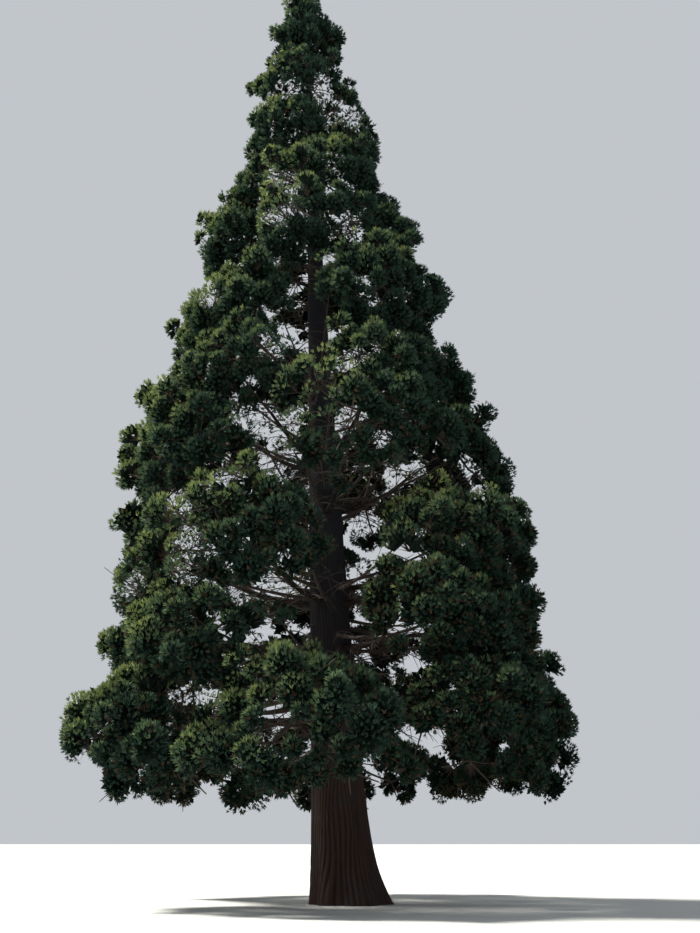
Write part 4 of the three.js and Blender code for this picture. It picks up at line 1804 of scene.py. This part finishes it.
@dataclass(frozen=True)
class SprayForms:
    """The few forms of spray, of length one along +Z, that every point takes one of."""

    name: str = "outer"
    count: int = 5
    fingers: int = 5
    belly_share: float = 0.5
    half_width: float = 0.11
    fold: float = 0.045
    middle_tilt: float = 0.12
    tilt: float = 0.46
    tilt_variation: float = 0.4
    bearing_variation: float = 0.3
    length: Span = (0.72, 1.0)

    def finger(self, along: np.ndarray, length: float, turn: float) -> np.ndarray:
        """Points of one cord of scale leaves, folded along its middle and widest past it.

        Args:
            along: Its direction.
            length: Its length.
            turn: Turn about its own axis.

        Returns:
            Its root, one side, its tip and the other side.
        """
        across, over = across_frame(along)
        side = across * math.cos(turn) + over * math.sin(turn)
        belly = along * length * self.belly_share - np.cross(along, side) * self.fold
        return np.array([np.zeros(3), belly - side * self.half_width, along * length,
                         belly + side * self.half_width])

    def spray(self, name: str, seed: int) -> bpy.types.Object:
        """One form of spray, whose fingers depend on a seed."""
        random = np.random.default_rng(seed)
        points: list[np.ndarray] = []
        faces: list[tuple[int, int, int]] = []
        for finger in range(self.fingers):
            tilt = self.middle_tilt
            if finger:
                tilt = self.tilt * (1 + random.uniform(-1, 1) * self.tilt_variation)
            bearing = GOLDEN_ANGLE * finger
            bearing += random.uniform(-self.bearing_variation, self.bearing_variation)
            along = np.array([math.sin(tilt) * math.cos(bearing),
                              math.sin(tilt) * math.sin(bearing), math.cos(tilt)])
            length = random.uniform(*self.length) if finger else 1.0
            base = len(points)
            points.extend(self.finger(along, length, random.uniform(0, math.pi)))
            faces += [(base, base + 1, base + 2), (base, base + 2, base + 3)]
        return plain_object(name, new_mesh(name, [tuple(point) for point in points], faces=faces))

    def collection(self) -> bpy.types.Collection:
        """Makes the forms, in a collection of their own."""
        sprays = [self.spray(f"{self.name}_form_{index}", FORM_SEED + index)
                  for index in range(self.count)]
        return grouped(f"{self.name}_forms", sprays)


@dataclass(frozen=True)
class StalkForm:
    """A thin pointed stalk of length one along +Z."""

    radius: float = 0.022
    sides: int = 3

    def collection(self) -> bpy.types.Collection:
        """Makes the form, in a collection of its own."""
        turns = [FULL_TURN * side / self.sides for side in range(self.sides)]
        ring = [(self.radius * math.cos(turn), self.radius * math.sin(turn), 0) for turn in turns]
        faces = [(side, (side + 1) % self.sides, self.sides) for side in range(self.sides)]
        mesh = new_mesh("stalk_form", [*ring, (0, 0, 1)], faces=faces)
        return grouped("stalk_forms", [plain_object("stalk_form", mesh)])


Piece = tuple[bpy.types.Object, Zone, str]


@dataclass
class Foliage:
    """Twigs and sprays of every mass, joined by zone and kind."""

    plan: CrownPlan
    nodes: GrowthTree
    rules: GrowthRules = GrowthRules()
    forms: SprayForms = SprayForms()
    inner_forms: SprayForms = SprayForms("inner", fingers=3, half_width=0.3, tilt=0.55)
    stalk_form: StalkForm = StalkForm()
    branch_sides: int = 5
    twig_sides: int = 3

    def build(self) -> list[Piece]:
        """Grows the foliage.

        Returns:
            Each piece with its zone and its slot.
        """
        forms = [kind.collection() for kind in (self.forms, self.inner_forms, self.stalk_form)]
        tints = {tint: tint.value.material() for tint in Tint}
        twig_bark = TWIG_FINISH.material()
        pieces: list[Piece] = []
        for zone in Zone:
            growths = [MassGrowth(mass, self.rules, self.plan.trunk).grow()
                       for mass in self.plan.masses if mass.zone is zone]
            pieces += self.twig_pieces(zone, growths, forms[-1], twig_bark)
            pieces += self.spray_pieces(zone, growths, forms[:-1], tints)
        for group in forms:
            for thing in list(group.objects):
                bpy.data.objects.remove(thing)
            bpy.data.collections.remove(group)
        return pieces

    def scattered(self, name: str, roots: np.ndarray, grow: np.ndarray, sizes: np.ndarray,
                  values: dict[str, Any]) -> bpy.types.Object:
        """An object with a form on each of several points.

        Args:
            name: Its name.
            roots: The points.
            grow: Direction at each point.
            sizes: Size at each point.
            values: The scatter tree's inputs by name.

        Returns:
            The object.
        """
        mesh = bpy.data.meshes.new(f"{name}_points")
        mesh.vertices.add(len(roots))
        mesh.vertices.foreach_set("co", roots.astype(np.float32).reshape(-1))
        write_attribute(mesh, "grow", grow)
        write_attribute(mesh, "size", sizes)
        carrier = plain_object(f"{name}_points", mesh)
        return self.nodes.grown(name, carrier, self.nodes.scatter, {"Size": 1.0, **values})

    def tubes(self, name: str, chains: list[tuple[np.ndarray, np.ndarray]],
              values: dict[str, Any]) -> bpy.types.Object:
        """An object with a tube along each of several chains of points.

        Args:
            name: Its name.
            chains: Points and radii of each chain.
            values: The tube tree's inputs by name.

        Returns:
            The object.
        """
        edges: list[tuple[int, int]] = []
        start = 0
        for rows, _ in chains:
            last = start + len(rows) - 1
            edges.extend((step, step + 1) for step in range(start, last))
            start = last + 1
        points = np.concatenate([rows for rows, _ in chains])
        mesh = new_mesh(f"{name}_chains", points.tolist(), edges)
        write_attribute(mesh, "thick", np.concatenate([radii for _, radii in chains]))
        carrier = plain_object(f"{name}_chains", mesh)
        return self.nodes.grown(name, carrier, self.nodes.tubes, {"Thickness": 1.0, **values})

    def twig_pieces(self, zone: Zone, growths: list[Growth], stalks: bpy.types.Collection,
                    finish: bpy.types.Material) -> list[Piece]:
        """The branches, the twigs and the stalks of one zone.

        Args:
            zone: The zone.
            growths: What grows on its masses.
            stalks: The form of a stalk.
            finish: The material.

        Returns:
            Each piece with its zone and its slot.
        """
        branches = [chain for growth in growths for chain in growth.branches]
        twigs = [chain for growth in growths for chain in growth.twigs]
        pairs = [pair for growth in growths for pair in growth.stalks]
        roots, runs = (np.concatenate(rows) for rows in zip(*pairs))
        made = [
            self.tubes(f"{zone.value}_{kind}", chains, {"Sides": sides, "Material": finish})
            for kind, chains, sides in (("branches", branches, self.branch_sides),
                                        ("twigs", twigs, self.twig_sides))
        ]
        made.append(self.scattered(
            f"{zone.value}_stalks", roots, unit(runs), np.linalg.norm(runs, axis=1),
            {"Forms": stalks, "Turn Seed": STALK_TURN_SEED, "Material": finish}))
        return [(piece, zone, "bough_bark") for piece in made]

    def spray_pieces(self, zone: Zone, growths: list[Growth],
                     forms: Sequence[bpy.types.Collection],
                     tints: dict[Tint, bpy.types.Material]) -> list[Piece]:
        """The sprays of one zone, a piece for each tint.

        Args:
            zone: The zone.
            growths: What grows on its masses.
            forms: The forms of the outer sprays and of the inner ones.
            tints: Material of each tint.

        Returns:
            Each piece with its zone and its slot.
        """
        sprays = Sprays.joined([group for growth in growths for group in growth.sprays])
        steps = np.array(TINT_STEPS)
        by_light = (sprays.light[:, None] < steps[None, :]).sum(axis=1)
        # The brown sprays, old needles and painted shade, take the last tint.
        place = np.where(sprays.old, len(steps) + 1, by_light)
        made = []
        for number, (tint, material) in enumerate(tints.items()):
            chosen = sprays.chosen(place == number)
            if len(chosen.roots) == 0:
                continue
            piece = self.scattered(
                f"{zone.value}_{tint.name.lower()}_sprays", chosen.roots, chosen.grow,
                chosen.sizes, {"Forms": forms[tint is Tint.INNER],
                               "Turn Seed": SPRAY_TURN_SEED + number, "Material": material})
            made.append((piece, zone, "foliage"))
        return made


@dataclass(frozen=True)
class Studio:
    """Pale floor, soft light and the camera."""

    floor_reach: float = 400.0
    lens: float = 49.85
    sensor: float = 36.0
    camera_pitch: float = math.radians(16.1)
    camera_range: float = 1000.0
    sky: Triple = (0.84, 0.88, 0.93)
    sky_strength: float = 0.64
    key_colour: Triple = (1.0, 0.96, 0.88)
    key_strength: float = 10.9
    key_angle: float = math.radians(10)
    key_turn: Triple = (math.radians(-8), math.radians(-34), 0.0)

    def build(self) -> None:
        """Builds the floor, the lights and the camera."""
        self.floor()
        self.light()
        self.camera()

    def floor(self) -> None:
        """Builds the floor."""
        corners = [(self.floor_reach * x, self.floor_reach * y, 0)
                   for x, y in ((-1, -1), (1, -1), (1, 1), (-1, 1))]
        floor = plain_object("studio_floor", new_mesh("studio_floor", corners,
                                                      faces=[(0, 1, 2, 3)]))
        floor.data.materials.append(FLOOR_FINISH.material())

    def light(self) -> None:
        """Builds the sky and the soft sun."""
        world = bpy.data.worlds.new("studio_sky")
        world.use_nodes = True
        background = world.node_tree.nodes["Background"]
        background.inputs["Color"].default_value = (*self.sky, 1)
        background.inputs["Strength"].default_value = self.sky_strength
        bpy.context.scene.world = world
        sun = bpy.data.lights.new("key_light", "SUN")
        sun.energy = self.key_strength
        sun.angle = self.key_angle
        sun.color = self.key_colour
        key = bpy.data.objects.new("key_light", sun)
        key.rotation_euler = self.key_turn
        bpy.context.scene.collection.objects.link(key)
        bpy.context.scene.view_settings.view_transform = "Standard"

    def camera(self) -> None:
        """Sets the camera at the photograph's viewing angle."""
        data = bpy.data.cameras.new("camera")
        data.lens = self.lens
        data.sensor_width = self.sensor
        data.clip_end = self.camera_range
        camera = bpy.data.objects.new("camera", data)
        camera.location = VIEWER
        camera.rotation_euler = (math.pi / 2 + self.camera_pitch, 0, 0)
        bpy.context.scene.collection.objects.link(camera)
        bpy.context.scene.camera = camera


def fasten(piece: bpy.types.Object, nodes: Sequence[str]) -> None:
    """Ties a finished piece to the frame and reports it.

    Args:
        piece: The piece.
        nodes: The nodes that it stands for.
    """
    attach(piece, "root")
    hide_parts(*nodes)
    triangles = sum(len(face.vertices) - 2 for face in piece.data.polygons)
    if triangles > PIECE_TRIANGLE_LIMIT:
        raise ValueError(f"{piece.name} has {triangles} triangles")
    LOG.info("%s: %d triangles, stands for %d nodes", piece.name, triangles, len(nodes))


def write_sizes() -> None:
    """Updates the view layer, so the boxes of the solids and of the dressed tree are current."""
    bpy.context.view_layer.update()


def main() -> None:
    """Builds the tree in order, then the studio."""
    logging.basicConfig(level=logging.INFO, format="%(name)s: %(message)s")
    plan = CrownPlan(TrunkForm(), CrownRule())
    trunk = TrunkBark().build(plan.trunk)
    trunk.data.materials.append(TRUNK_FINISH.material())
    fasten(trunk, ["trunk"])
    bough_finish = BOUGH_FINISH.material()
    for zone in Zone:
        masses = [mass for mass in plan.masses if mass.zone is zone]
        boughs = BoughBark().build(f"{zone.value}_boughs", masses)
        boughs.data.materials.clear()
        boughs.data.materials.append(bough_finish)
        named = [mass.bough for mass in masses if mass.bough]
        fasten(boughs, named or [mass.name for mass in masses])
    for piece, zone, slot in Foliage(plan, GrowthTree()).build():
        fasten(piece, [mass.name for mass in plan.masses if mass.zone is zone])
    Studio().build()
    write_sizes()


if __name__ == "__main__":
    main()
